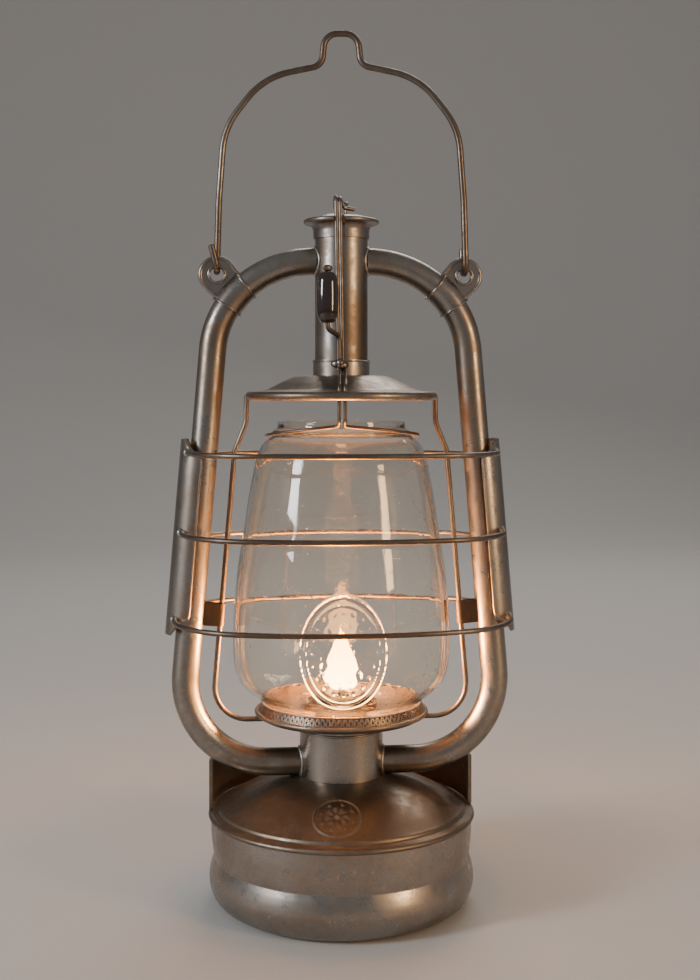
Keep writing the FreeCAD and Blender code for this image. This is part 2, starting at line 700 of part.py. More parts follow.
def hood(others):
    """Spun hood over the globe, its rim rolled over the guide wires' ends."""
    sheet = spun_sheet([(HOOD_NECK_R, HOOD_TOP_Z - SHEET),
                        (20.5, HOOD_TOP_Z - SHEET),
                        ((20.5, HOOD_TOP_Z - SHEET), (28.0, 238.0), (34.3, 234.2)),
                        (41.0, 232.7)])
    shape = sheet.fuse(bead(HOOD_BEAD_R, HOOD_BEAD, HOOD_BEAD_Z))
    return shape.cut(others)


def hood_collar():
    """Short sleeve on the hood that slides on the chimney."""
    sleeve = ring(COLLAR_R, COLLAR_BORE_R, HOOD_TOP_Z, COLLAR_TOP_Z)
    return sleeve.fuse(bead(COLLAR_R, 0.4, COLLAR_TOP_Z - 0.8)).cut(disc(COLLAR_BORE_R, 230, 260))


def gallery():
    """Globe plate: a floor for the glass and a rim band with its edge rolled."""
    sheet = spun_sheet([(GALLERY_HOLE_R, GALLERY_FLOOR_Z + 4.0), (GALLERY_HOLE_R, GALLERY_FLOOR_Z - 0.4),
                        (37.6, GALLERY_FLOOR_Z - 0.4), (GALLERY_R, GALLERY_RIM_Z),
                        (GALLERY_TOP_R, GALLERY_TOP_Z)])
    return sheet.fuse(bead(GALLERY_R, 1.1, GALLERY_RIM_Z))


def globe():
    """Blown glass globe with a plain pressed oval on its front."""
    glass = spun_sheet([(GLOBE_FOOT_R, GLOBE_FOOT_Z), (GLOBE_FOOT_R, 90.6),
                        ((GLOBE_FOOT_R, 90.6), (37.8, 92.9), (40.4, 94.6)),
                        ((40.4, 94.6), (46.6, 99.7), (49.4, 107.0)),
                        ((49.4, 107.0), (50.3, 118.0), (50.0, 129.0)),
                        ((50.0, 129.0), (46.0, 165.0), (39.2, 203.0)),
                        ((39.2, 203.0), (37.0, 208.8), (32.2, 212.9)),
                        (32.2, 215.4), (GLOBE_TOP_R, 216.6), (GLOBE_TOP_R, GLOBE_TOP_Z)], GLASS)
    return glass


def lift_rod():
    """Doubled wire that lifts the carriage; its hooks rest on the chimney's lid."""
    left = rounded_line([(-2.3, ROD_Y, 243.5), (-3.5, ROD_Y, ROD_TOP_Z), (-3.3, -6.4, ROD_TOP_Z),
                         (-3.1, -5.0, 318.1)], [3.0, 2.0])
    right = rounded_line([(-2.3 + ROD_PITCH, ROD_Y, 243.5), (-3.5 + ROD_PITCH, ROD_Y, ROD_TOP_Z - 0.6),
                          (-0.9, -6.2, ROD_TOP_Z - 0.6), (1.2, -4.6, 318.4), (5.6, -3.4, 318.0)],
                         [3.0, 2.0, 1.6])
    return round_bar(left, ROD_R).fuse(round_bar(right, ROD_R))


def grip_arm():
    """Wire through the grip, bent back to the lift rod and peened over on top."""
    line = rounded_line([(GRIP_X, GRIP_Y, 287.4), (GRIP_X, GRIP_Y, 261.8), (-2.4, -17.3, 259.0),
                         (-2.4, -17.3, 245.6)], [3.0, 3.0])
    return round_bar(line, ARM_R).fuse(Part.makeSphere(PEEN_R, Vector(GRIP_X, GRIP_Y, 288.6)))


def grip(arm):
    """Turned grip bead."""
    half = GRIP_LENGTH / 2
    body = spun(Part.Wire(outline([(0.0, -half), (2.6, -half),
                                   ((2.6, -half), (GRIP_R - 0.9, -half + 1.4), (GRIP_R - 0.2, -half + 5.0)),
                                   ((GRIP_R - 0.2, -half + 5.0), (GRIP_R, 0.0), (GRIP_R - 0.2, half - 5.0)),
                                   ((GRIP_R - 0.2, half - 5.0), (GRIP_R - 0.9, half - 1.4), (2.6, half)),
                                   (0.0, half), (0.0, -half)])))
    body.translate(Vector(GRIP_X, GRIP_Y, GRIP_Z))
    return body.cut(arm)


def rod_binding(others):
    """Soldered clip that binds the grip's wire and the globe springs to the rod."""
    block = Part.makeBox(6.6, 5.0, 3.6, Vector(-4.9, -19.4, 244.6))
    block = block.makeFillet(1.2, block.Edges)
    return block.cut(others)


def globe_spring(side):
    """One strand of the wire that presses the globe down on the gallery."""
    front_x = side * SPRING_PITCH - 2.6
    rear_x = side * SPRING_PITCH - 1.0
    reach = SPRING_REACH
    line = rounded_line([(side * reach, 4.0, 213.4), (side * reach, -reach, 215.4),
                         (front_x, -reach, 218.6), (front_x, -SPRING_OUT, 221.0),
                         (front_x, -SPRING_OUT, 236.2), (rear_x, -21.0, 243.4),
                         (rear_x, -15.9, 243.6)], [28.0, 2.0, 1.6, 3.0, 4.0])
    return round_bar(line, SPRING_WIRE_R)


# ---- bail -----------------------------------------------------------------------------
def bail():
    """Carrying wire, hooked through both ears, with a hump at the top for a hook."""
    pivot_z = EAR_Z + (EAR_HOLE_R + EAR_R) / 2

    def place(x, z):
        return Vector(x, -BAIL_HOOK_R * x / EAR_X, z)

    shoulders = [(57.4, pivot_z), (56.6, 322.0), (54.2, 356.0), (36.0, 379.6), (9.0, 385.2),
                 (7.6, 399.9), (-7.6, 399.9), (-9.0, 385.2), (-36.0, 379.6), (-54.2, 356.0),
                 (-56.6, 322.0), (-57.4, pivot_z)]
    radii = [90.0, 34.0, 34.0, 5.5, 6.6]
    line = rounded_line([place(x, z) for x, z in shoulders], radii + radii[::-1])
    shape = round_bar(line, BAIL_WIRE_R)
    for side in (-1, 1):
        x = side * EAR_X
        front = -side * BAIL_HOOK_R
        hook = Part.Wire([
            Part.Arc(Vector(x, front, pivot_z), Vector(x, 0, pivot_z - BAIL_HOOK_R),
                     Vector(x, -front, pivot_z)).toShape(),
            Part.LineSegment(Vector(x, -front, pivot_z),
                             Vector(min(x, x + side * HOOK_SPREAD), -front, pivot_z + HOOK_END)).toShape()])
        shape = shape.fuse(round_bar(hook, BAIL_WIRE_R))
    return shape


# ---- build ----------------------------------------------------------------------------
def build():
    parts = {}
    top = fount_top()
    parts["fount_top"] = top
    parts["fount_pan"] = fount_pan(top)
    parts["fount_base"] = fount_base()
    parts["filler_neck"] = filler_neck()
    parts["filler_cap"] = filler_cap()
    parts["cap_gasket"] = cap_gasket()
    parts["lower_tube_right"] = lower_tube(top)
    parts["upper_tube_right"] = upper_tube()
    parts["ear_right"] = ear()
    parts["guide_clip_right"] = guide_clip()
    for name in ("lower_tube", "upper_tube", "ear", "guide_clip"):
        parts[name + "_left"] = mirrored(parts[name + "_right"])
    parts["rear_skirt"] = rear_skirt([parts["lower_tube_left"], parts["lower_tube_right"]])
    parts["air_chamber"] = air_chamber()
    parts["burner_socket"] = burner_socket()
    parts["burner_body"] = burner_body()
    parts["draft_plate"] = draft_plate()
    parts["burner_cone"] = burner_cone()
    parts["wick_tube"] = wick_tube()
    parts["wick"] = wick()
    parts["wick_shaft"] = wick_shaft()
    parts["star_wheels"] = star_wheels()
    parts["wick_knob"] = wick_knob()
    parts["chimney_tube"] = chimney_tube()
    parts["chimney_flange"] = chimney_flange()
    parts["chimney_lid"] = chimney_lid(parts["chimney_flange"])
    parts["lid_staple"] = lid_staple().cut(parts["chimney_lid"])
    for level, z in GUARD_FRONT_Z.items():
        parts["guard_wire_front_" + level] = guard_wire(z)
    for level, z in GUARD_REAR_Z.items():
        parts["guard_wire_rear_" + level] = turned_round(guard_wire(z))
    wires = [shape for name, shape in parts.items() if name.startswith("guard_wire")]
    parts["guard_plate_right"] = guard_plate(wires)
    parts["guard_plate_left"] = mirrored(parts["guard_plate_right"])
    parts["guide_wire_right"] = guide_wire()
    parts["guide_wire_left"] = mirrored(parts["guide_wire_right"])
    springs = [globe_spring(-1), globe_spring(1)]
    parts["globe_spring_left"] = springs[0]
    parts["globe_spring_right"] = springs[1]
    parts["lift_rod"] = lift_rod()
    parts["grip_arm"] = grip_arm()
    parts["grip"] = grip(parts["grip_arm"])
    parts["rod_binding"] = rod_binding([parts["lift_rod"], parts["grip_arm"]] + springs)
    parts["hood"] = hood([parts["guide_wire_left"], parts["guide_wire_right"]] + springs)
    parts["hood_collar"] = hood_collar()
    parts["gallery"] = gallery()
    parts["globe"] = globe()
    parts["bail"] = bail()
    return parts


os.makedirs("parts", exist_ok=True)
for node_name, node_shape in build().items():
    print(node_name, node_shape.ShapeType, len(node_shape.Solids), node_shape.isValid(),
          round(node_shape.Volume, 1))
    node_shape.exportStep("parts/" + node_name + ".step")
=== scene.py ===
import math
import random

import bmesh
import bpy
from mathutils import Matrix, Vector


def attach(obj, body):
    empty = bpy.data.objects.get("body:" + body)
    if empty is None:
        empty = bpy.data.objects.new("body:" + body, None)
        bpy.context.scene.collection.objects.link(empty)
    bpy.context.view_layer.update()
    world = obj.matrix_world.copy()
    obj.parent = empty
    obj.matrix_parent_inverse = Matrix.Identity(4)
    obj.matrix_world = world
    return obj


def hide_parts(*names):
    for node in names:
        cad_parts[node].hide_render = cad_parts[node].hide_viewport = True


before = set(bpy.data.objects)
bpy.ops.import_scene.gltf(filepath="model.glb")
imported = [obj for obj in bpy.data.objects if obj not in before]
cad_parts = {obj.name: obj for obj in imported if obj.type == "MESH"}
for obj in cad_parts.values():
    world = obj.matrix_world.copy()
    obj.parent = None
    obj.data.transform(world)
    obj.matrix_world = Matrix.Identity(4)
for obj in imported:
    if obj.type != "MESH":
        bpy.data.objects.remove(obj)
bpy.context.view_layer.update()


# --- Tinplate -------------------------------------------------------------------------------
# Every sheet piece of the lantern is tinned steel, folded or spun, then soldered. Decades of
# handling leave it grey and satin, with brown stains, fine pits and rubbed, brighter patches.

class Value:
    """A socket of a finish that takes part in sums: each operator adds its Math node."""

    def __init__(self, finish, socket):
        self.finish = finish
        self.socket = socket

    def sum(self, operation, first, second):
        return self.finish.value("ShaderNodeMath", {"operation": operation}, {0: first, 1: second})

    def __add__(self, other):
        return self.sum("ADD", self, other)

    def __radd__(self, other):
        return self.sum("ADD", other, self)

    def __sub__(self, other):
        return self.sum("SUBTRACT", self, other)

    def __rsub__(self, other):
        return self.sum("SUBTRACT", other, self)

    def __mul__(self, other):
        return self.sum("MULTIPLY", self, other)


class Finish:
    """A material in the making: its nodes all come from one method."""

    def __init__(self, name):
        self.material = bpy.data.materials.new(name)
        self.material.use_nodes = True
        self.tree = self.material.node_tree
        self.tree.nodes.clear()
        self.place = self.node("ShaderNodeTexCoord").outputs["Object"]

    def node(self, kind, settings=None, inputs=None):
        made = self.tree.nodes.new(kind)
        for key, setting in (settings or {}).items():
            setattr(made, key, setting)
        for key, given in (inputs or {}).items():
            socket = given.socket if isinstance(given, Value) else given
            if isinstance(socket, bpy.types.NodeSocket):
                self.tree.links.new(socket, made.inputs[key])
            else:
                made.inputs[key].default_value = socket
        return made

    def value(self, kind, settings=None, inputs=None, output=0):
        return Value(self, self.node(kind, settings, inputs).outputs[output])

    def stretched(self, scale):
        return self.node("ShaderNodeMapping", {}, {"Vector": self.place, "Scale": scale}).outputs[0]

    def noise(self, scale, detail=4.0, roughness=0.6, stretch=None):
        where = self.stretched(stretch) if stretch else self.place
        return self.value("ShaderNodeTexNoise", {}, {
            "Vector": where, "Scale": scale, "Detail": detail, "Roughness": roughness})

    def between(self, value, low, high, start=0.0, end=1.0):
        return self.value("ShaderNodeMapRange", {"interpolation_type": "SMOOTHSTEP"}, {
            "Value": value, "From Min": low, "From Max": high, "To Min": start, "To Max": end})

    def mixed(self, mask, first, second):
        made = self.node("ShaderNodeMix", {"data_type": "RGBA"}, {0: mask, 6: first, 7: second})
        return made.outputs[2]

    def height(self):
        return self.value("ShaderNodeSeparateXYZ", {}, {0: self.place}, "Z")

    def bumped(self, height, strength, distance):
        return self.node("ShaderNodeBump", {}, {
            "Height": height, "Strength": strength, "Distance": distance}).outputs[0]

    def surface(self, **sockets):
        shader = self.node("ShaderNodeBsdfPrincipled", {}, {
            key.replace("_", " "): given for key, given in sockets.items()})
        self.node("ShaderNodeOutputMaterial", {}, {"Surface": shader.outputs[0]})
        return self.material


def rgb(red, green, blue):
    return (red, green, blue, 1.0)


def tinplate(name, grey, brown, stains, shine, seed):
    """Aged tinplate: stains is how much is browned, shine its smoothest roughness."""
    tin = Finish(name)
    tin.place = tin.node("ShaderNodeVectorMath", {"operation": "ADD"},
                         {0: tin.place, 1: (seed, seed, 0)}).outputs[0]
    cloud = tin.noise(22.0, 5.0, 0.55)
    mottle = tin.noise(150.0, 6.0, 0.72)
    speck = tin.noise(1100.0, 3.0, 0.6)
    streak = tin.noise(110.0, 5.0, 0.55, (1.0, 1.0, 0.1))
    browned = tin.between(cloud * 0.7 + mottle * 0.5 + streak * 0.3, 0.95 - stains, 1.30 - stains)
    pits = tin.between(speck, 0.66, 0.74)
    rubbed = tin.between(streak * 0.5 + mottle * 0.5, 0.54, 0.68)
    worn = tuple(min(1.0, part * 1.4) for part in grey[:3]) + (1.0,)
    dark = tuple(part * 0.35 for part in brown[:3]) + (1.0,)
    base = tin.mixed(rubbed * 0.5, grey, worn)
    base = tin.mixed(browned * 0.8, base, brown)
    base = tin.mixed(pits * 0.7, base, dark)
    rough = tin.between(mottle, 0.3, 0.75, shine, shine + 0.16) + browned * 0.07 + pits * 0.2
    relief = mottle * 0.6 + speck * 0.3 + streak * 0.3 - pits * 0.9
    return tin.surface(Base_Color=base, Metallic=1.0, Roughness=rough,
                       Normal=tin.bumped(relief, 0.2, 0.0005))


BARE = rgb(0.33, 0.30, 0.27)
BROWN = rgb(0.17, 0.115, 0.075)
satin_tin = tinplate("satin_tinplate", BARE, BROWN, 0.30, 0.24, 0.0)


def coat(material, *nodes):
    """Gives CAD pieces whose shape is final their finish."""
    for node in nodes:
        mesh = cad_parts[node].data
        mesh.materials.clear()
        mesh.materials.append(material)


# --- Fount ----------------------------------------------------------------------------------
# The oil fount is a drawn pan and a pressed dome, crimped together at the rim. The pan has a
# rounded foot, a creased waist and a plain band. Sizes here and below are in millimetres.

MM = 0.001
SHEET = 0.8


def flowing(points, steps=8):
    """A smooth line through the points."""
    points = [Vector(p) for p in points]
    padded = [2 * points[0] - points[1]] + points + [2 * points[-1] - points[-2]]
    line = []
    for a, b, c, d in zip(padded, padded[1:], padded[2:], padded[3:]):
        for step in range(steps):
            t = step / steps
            line.append(0.5 * (2 * b + (c - a) * t + (2 * a - 5 * b + 4 * c - d) * t * t
                               + (3 * b - a - 3 * c + d) * t ** 3))
    return line + [points[-1]]


def arc(centre, radius, start, end, steps=10):
    """Points on a round bend, from one angle to another in degrees."""
    angles = [math.radians(start + (end - start) * k / steps) for k in range(steps + 1)]
    return [Vector((centre[0] + radius * math.cos(a), centre[1] + radius * math.sin(a)))
            for a in angles]


def sheet(line, thick=SHEET):
    """The closed section of a sheet: its face, then its back, which lies to the left."""
    line = [Vector(p) for p in line]
    back = []
    for before, point, after in zip(line[:1] + line[:-1], line, line[1:] + line[-1:]):
        along = (after - before).normalized()
        back.append(point + Vector((-along.y, along.x)) * thick)
    return line + back[::-1]


def lathe(section, turns=160):
    """A closed section of radius and height, turned about the lantern's axis."""
    size = len(section)
    verts = []
    faces = []
    for step in range(turns):
        angle = 2 * math.pi * step / turns
        here, there = step * size, (step + 1) % turns * size
        for k, (radius, height) in enumerate(section):
            verts.append((radius * math.cos(angle), radius * math.sin(angle), height))
            ahead = (k + 1) % size
            faces.append((here + k, here + ahead, there + ahead, there + k))
    return verts, faces


def joined(*solids):
    """Several shapes as one."""
    verts = []
    faces = []
    for more_verts, more_faces in solids:
        faces += [tuple(k + len(verts) for k in face) for face in more_faces]
        verts += more_verts
    return verts, faces


def moved(solid, place):
    """A shape carried by a matrix."""
    return [tuple(place @ Vector(v)) for v in solid[0]], solid[1]


def piece(name, solid, material, sharp=40):
    """A closed mesh in the lantern's frame, smooth except at its real edges."""
    mesh = bpy.data.meshes.new(name)
    mesh.from_pydata([Vector(v) * MM for v in solid[0]], [], solid[1])
    shape = bmesh.new()
    shape.from_mesh(mesh)
    bmesh.ops.remove_doubles(shape, verts=shape.verts, dist=0.000002)
    bmesh.ops.recalc_face_normals(shape, faces=shape.faces)
    shape.to_mesh(mesh)
    shape.free()
    mesh.shade_smooth()
    mesh.set_sharp_from_angle(angle=math.radians(sharp))
    mesh.materials.append(material)
    made = bpy.data.objects.new(name, mesh)
    bpy.context.collection.objects.link(made)
    return made


def fit(made, body, slot, *nodes):
    """Fixes a piece to its body and hides the CAD pieces it stands for."""
    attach(made, body)
    if nodes:
        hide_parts(*nodes)
    return made


FOOT_R, BULGE_R, WAIST_R, BAND_R = 51.0, 60.8, 58.8, 60.0
WAIST_Z, RIM_Z = 21.7, 40.4
wall = flowing([(FOOT_R - 5, 0.05), (FOOT_R - 1, 0.05), (53.6, 0.6), (57.2, 2.6), (59.7, 6.2),
                (BULGE_R, 11.0), (BULGE_R - 0.1, 14.5), (59.9, 18.0), (59.0, 20.8)], 6)
crease = [(WAIST_R, WAIST_Z - 0.3), (WAIST_R - 0.1, WAIST_Z), (WAIST_R, WAIST_Z + 0.4)]
wall += [Vector(p) for p in crease]
wall += flowing([(59.0, 23.2), (59.5, 27.5), (BAND_R - 0.1, 32.0), (BAND_R, 34.0), (BAND_R, 39.3)], 5)
band_tin = tinplate("fount_wall_tinplate", BARE, rgb(0.20, 0.145, 0.10), 0.30, 0.24, 0.7)
fit(piece("fount_wall", lathe(sheet(wall)), band_tin), "frame", "tinplate", "fount_pan")

DOME_TOP_R, DOME_FOOT = 9.4, (56.1, 43.95)
dome = flowing([(DOME_TOP_R, 58.3), (19.2, 57.35), (25.0, 56.3), (31.7, 54.6), (38.8, 52.1),
                (47.4, 48.3), (52.6, 45.6), (55.2, 44.3), DOME_FOOT], 8)
rim = [Vector(p) for p in ((56.5, 43.75), (56.75, 43.4), (56.85, 42.8), (57.1, 42.45), (57.6, 42.25),
                           (58.4, 42.05), (59.2, 41.65))]
rim += arc((60.1, RIM_Z), 1.2, 105, -90, 14)
rim += [Vector((59.2, 39.3)), Vector((58.9, 40.6)), Vector((56.6, 41.4))]
under = [p + Vector((-0.2, -SHEET)) for p in dome[::-1]]
dome_tin = tinplate("dome_tinplate", rgb(0.31, 0.275, 0.235), rgb(0.17, 0.12, 0.08), 0.48, 0.30, 1.3)
fit(piece("fount_dome", lathe(dome + rim + under), dome_tin), "frame", "tinplate", "fount_top")


def dome_height(radius):
    """Height of the dome's face at a distance from the axis."""
    for inner, outer in zip(dome, dome[1:]):
        if inner.x <= radius <= outer.x:
            return inner.y + (outer.y - inner.y) * (radius - inner.x) / (outer.x - inner.x)


# --- Rosette on the dome --------------------------------------------------------------------
# A plain round mark pressed in the front of the dome: a raised rim, a sunk field and an
# eight-petalled flower with a boss.

ROSETTE_X, ROSETTE_Y, ROSETTE_R = -5.1, -43.0, 11.2


def ridge(value, centre, width):
    """A rounded ridge or boss, 1 at its crest."""
    away = abs(value - centre) / width
    return math.cos(away * math.pi / 2) ** 2 if away < 1 else 0.0


def rosette_relief(radius, angle):
    """Height of the pressed mark above the dome."""
    petal = 0.5 + 0.5 * math.cos(8 * angle)
    flower = ridge(radius, 3.9, 2.3) * (0.15 + 0.85 * petal)
    dots = ridge(radius, 7.4, 0.8) * max(0.0, math.cos(8 * angle + math.pi)) ** 3
    centre = 1.0 * ridge(radius, 0, 1.6)
    return 0.04 + 0.55 * ridge(radius, 10.3, 0.7) + 0.6 * flower + centre + 0.7 * dots


def rosette():
    rings, spokes = 44, 144
    verts = []
    faces = []
    for back in (0, 1):
        for ring in range(rings + 1):
            radius = ROSETTE_R * ring / rings
            for spoke in range(spokes):
                angle = 2 * math.pi * spoke / spokes
                x = ROSETTE_X + radius * math.cos(angle)
                y = ROSETTE_Y + radius * math.sin(angle)
                lift = -0.25 if back else rosette_relief(radius, angle)
                lift = -0.05 if ring == rings and not back else lift
                verts.append((x, y, dome_height(math.hypot(x, y)) + lift))
    layer = (rings + 1) * spokes
    for spoke in range(spokes):
        ahead = (spoke + 1) % spokes
        for ring in range(rings):
            here, there = ring * spokes, (ring + 1) * spokes
            quad = (here + spoke, there + spoke, there + ahead, here + ahead)
            faces.append(quad)
            faces.append(tuple(layer + k for k in quad[::-1]))
        edge = rings * spokes
        faces.append((edge + spoke, edge + spoke + layer, edge + ahead + layer, edge + ahead))
    return verts, faces


rosette_tin = tinplate("rosette_tinplate", rgb(0.33, 0.29, 0.24), rgb(0.17, 0.12, 0.08),
                       0.35, 0.24, 1.9)
fit(piece("dome_rosette", rosette(), rosette_tin, 60), "frame", "tinplate")
coat(dome_tin, "filler_neck", "rear_skirt", "fount_base")


# --- Filler cap -----------------------------------------------------------------------------
# A screw cap with a milled edge, of tinned steel on a cork ring. It screws on to a neck behind
# the air chamber.

coat(satin_tin, "filler_cap")
cork = Finish("cork")
grain = cork.noise(700.0, 4.0, 0.7)
coat(cork.surface(Base_Color=cork.mixed(cork.between(grain, 0.4, 0.62), rgb(0.16, 0.09, 0.045),
                                        rgb(0.30, 0.19, 0.10)),
                  Roughness=0.85, Normal=cork.bumped(grain, 0.4, 0.0004)), "cap_gasket")


# --- Burner ---------------------------------------------------------------------------------
# Brass, smoked brown and black towards the flame: a drum with a slotted cone, a flat wick in
# its tube, and the spindle with two star wheels and a milled knob.

smoked = Finish("smoked_brass")
upper = smoked.between(smoked.height(), 0.080, 0.094)
smut = smoked.between(smoked.noise(160.0, 5.0, 0.65) + upper * 0.5, 0.42, 0.85)
coat(smoked.surface(Base_Color=smoked.mixed(smut, rgb(0.42, 0.28, 0.12), rgb(0.035, 0.025, 0.02)),
                    Metallic=1.0 - smut * 0.5, Roughness=0.34 + smut * 0.4,
                    Normal=smoked.bumped(smoked.noise(500.0), 0.2, 0.0004)),
     "burner_body", "burner_cone", "draft_plate", "burner_socket", "wick_tube", "star_wheels",
     "wick_knob")
cotton = Finish("cotton_wick")
weave = cotton.value("ShaderNodeTexWave", {"bands_direction": "DIAGONAL"}, {
    "Vector": cotton.place, "Scale": 700.0, "Distortion": 1.5})
charred = cotton.between(cotton.height(), 0.092, 0.097)
coat(cotton.surface(Base_Color=cotton.mixed(charred, rgb(0.55, 0.47, 0.34), rgb(0.02, 0.015, 0.012)),
                    Roughness=0.95, Normal=cotton.bumped(weave, 0.5, 0.0005)), "wick")


# --- Air chamber and side tubes -------------------------------------------------------------
# Two bent tubes carry air from the chimney down to the chamber under the burner. They are
# soldered into both, and each is in two lengths that meet under the ear's sleeve.

TUBE_R = 6.3
TUBE_TOP_Z, TUBE_FOOT_Z, TUBE_LEAN = 294.2, 63.2, 4.7
TOP_BEND, TOP_BEND_R, SHOULDER_R, FOOT_R_BEND = 40.0, 50.0, 42.6, 38.0
EAR_SWEEP = 17.3
CHIMNEY_R, CHAMBER_R = 12.2, 19.2


def bent(start, heading, steps, fine=3.0):
    """Points along runs (length, 0) and clockwise bends (radius, degrees) in a plane."""
    u, v = start
    line = [Vector((u, v))]
    for size, turn in steps:
        if turn == 0:
            angle = math.radians(heading)
            u, v = u + size * math.cos(angle), v + size * math.sin(angle)
            line.append(Vector((u, v)))
            continue
        side = math.copysign(1.0, turn)
        angle = math.radians(heading)
        cu, cv = u + side * size * math.sin(angle), v - side * size * math.cos(angle)
        count = max(2, math.ceil(abs(turn) / fine))
        for k in range(1, count + 1):
            angle = math.radians(heading - turn * k / count)
            u, v = cu - side * size * math.sin(angle), cv + side * size * math.cos(angle)
            line.append(Vector((u, v)))
        heading -= turn
    return line


def rounded(points, radii, fine=7.0):
    """Straight runs between points, with round corners of the given radii."""
    points = [Vector(p) for p in points]
    line = [points[0]]
    for before, corner, after, radius in zip(points, points[1:], points[2:], radii):
        back, ahead = (before - corner).normalized(), (after - corner).normalized()
        half = back.angle(ahead) / 2
        centre = corner + (back + ahead).normalized() * (radius / math.sin(half))
        reach = radius / math.tan(half)
        enter, leave = corner + back * reach - centre, corner + ahead * reach - centre
        sweep = enter.angle(leave)
        count = max(2, math.ceil(math.degrees(sweep) / fine))
        for k in range(count + 1):
            t = k / count
            line.append(centre + (enter * math.sin((1 - t) * sweep) + leave * math.sin(t * sweep))
                        / math.sin(sweep))
    return line + [points[-1]]


def pipe(line, radius, sides=20, domed=0.25):
    """A round wire along a line of points, its ends a little domed; radius may be a function."""
    line = [Vector(p) for p in line]
    line = [p for k, p in enumerate(line) if k == 0 or (p - line[k - 1]).length > 0.02]
    size = radius if callable(radius) else (lambda share: radius)
    tangents = [(after - before).normalized() for before, after in
                zip(line[:1] + line[:-1], line[1:] + line[-1:])]
    side = tangents[0].orthogonal().normalized()
    verts = []
    stations = []
    total = len(line) - 1
    for k, (point, along) in enumerate(zip(line, tangents)):
        side = (side - along * side.dot(along)).normalized()
        stations.append((point, along, side, size(k / total)))
    first, last = stations[0], stations[-1]
    cap = domed * first[3]
    stations.insert(0, (first[0] - first[1] * cap, first[1], first[2], first[3] * 0.7))
    stations.append((last[0] + last[1] * cap, last[1], last[2], last[3] * 0.7))
    for point, along, side, reach in stations:
        other = along.cross(side)
        for k in range(sides):
            angle = 2 * math.pi * k / sides
            verts.append(tuple(point + (side * math.cos(angle) + other * math.sin(angle)) * reach))
    faces = []
    for row in range(len(stations) - 1):
        for k in range(sides):
            ahead = (k + 1) % sides
            faces.append((row * sides + k, row * sides + ahead,
                          (row + 1) * sides + ahead, (row + 1) * sides + k))
    faces.append(tuple(range(sides))[::-1])
    faces.append(tuple(range((len(stations) - 1) * sides, len(stations) * sides)))
    return verts, faces


def upright(line, side=1):
    """A flat line stood in the plane of the side tubes, on the right or the left."""
    return [Vector((p.x * side, 0, p.y)) for p in line]


ear_start = bent((CHIMNEY_R - 0.4, TUBE_TOP_Z), 0, [(0.4, 0), (TOP_BEND_R, TOP_BEND)])[-1]
ear_middle = bent(ear_start, -TOP_BEND, [(SHOULDER_R, EAR_SWEEP / 2)])[-1]
shoulder_end = bent(ear_start, -TOP_BEND, [(SHOULDER_R, 90 - TUBE_LEAN - TOP_BEND)])[-1]
LEAN = math.radians(TUBE_LEAN)
foot_start_z = TUBE_FOOT_Z + FOOT_R_BEND * (1 + math.sin(LEAN))
long_run = (shoulder_end.y - foot_start_z) / math.cos(LEAN)
foot_run = shoulder_end.x + long_run * math.sin(LEAN) - FOOT_R_BEND * math.cos(LEAN) - CHAMBER_R + 0.4
upper_line = bent((CHIMNEY_R - 0.4, TUBE_TOP_Z), 0,
                  [(0.4, 0), (TOP_BEND_R, TOP_BEND), (SHOULDER_R, EAR_SWEEP / 2)])
lower_line = bent(ear_middle, -(TOP_BEND + EAR_SWEEP / 2),
                  [(SHOULDER_R, 90 - TUBE_LEAN - TOP_BEND - EAR_SWEEP / 2), (long_run, 0),
                   (FOOT_R_BEND, 90 + TUBE_LEAN), (foot_run, 0)])
tube_tin = tinplate("tube_tinplate", rgb(0.32, 0.295, 0.265), rgb(0.18, 0.12, 0.075), 0.34, 0.24, 2.1)


def tube_axis_x(z):
    """Where the axis of the right-hand tube's long run is at a height."""
    return shoulder_end.x + (shoulder_end.y - z) * math.tan(LEAN)


def solder(centre, reach, seed):
    """A small uneven lump of solder."""
    chance = random.Random(seed)
    phase = [chance.uniform(0, 6.28) for _ in range(2)]
    verts = [(centre[0], centre[1], centre[2] - reach[2])]
    faces = []
    rows, sides = 6, 12
    for row in range(1, rows):
        polar = math.pi * row / rows
        for k in range(sides):
            angle = 2 * math.pi * k / sides
            lump = 1 + 0.12 * math.sin(3 * angle + phase[0]) + 0.1 * math.sin(2 * polar + phase[1])
            verts.append((centre[0] + reach[0] * lump * math.sin(polar) * math.cos(angle),
                          centre[1] + reach[1] * lump * math.sin(polar) * math.sin(angle),
                          centre[2] - reach[2] * math.cos(polar)))
    verts.append((centre[0], centre[1], centre[2] + reach[2]))
    top = len(verts) - 1
    for k in range(sides):
        ahead = (k + 1) % sides
        faces.append((0, 1 + ahead, 1 + k))
        faces.append((top, top - sides + k, top - sides + ahead))
        for row in range(rows - 2):
            low, high = 1 + row * sides, 1 + (row + 1) * sides
            faces.append((low + k, low + ahead, high + ahead, high + k))
    return verts, faces


def soldered_collar(x, z, seed):
    """The fillet of solder round a tube where it enters a drum of the same axis as x."""
    chance = random.Random(seed)
    lumps = [0.75 + chance.uniform(-0.12, 0.12) for _ in range(6)]
    line = []
    count = 48
    for k in range(count + 1):
        angle = 2 * math.pi * k / count
        y = (TUBE_R + 0.1) * math.cos(angle)
        drum = abs(x)
        line.append(Vector((math.copysign(math.sqrt(drum * drum - y * y) + 0.1, x), y,
                            z + (TUBE_R + 0.1) * math.sin(angle))))
    return pipe(line, lambda share: lumps[int(share * 5.99)], 10)


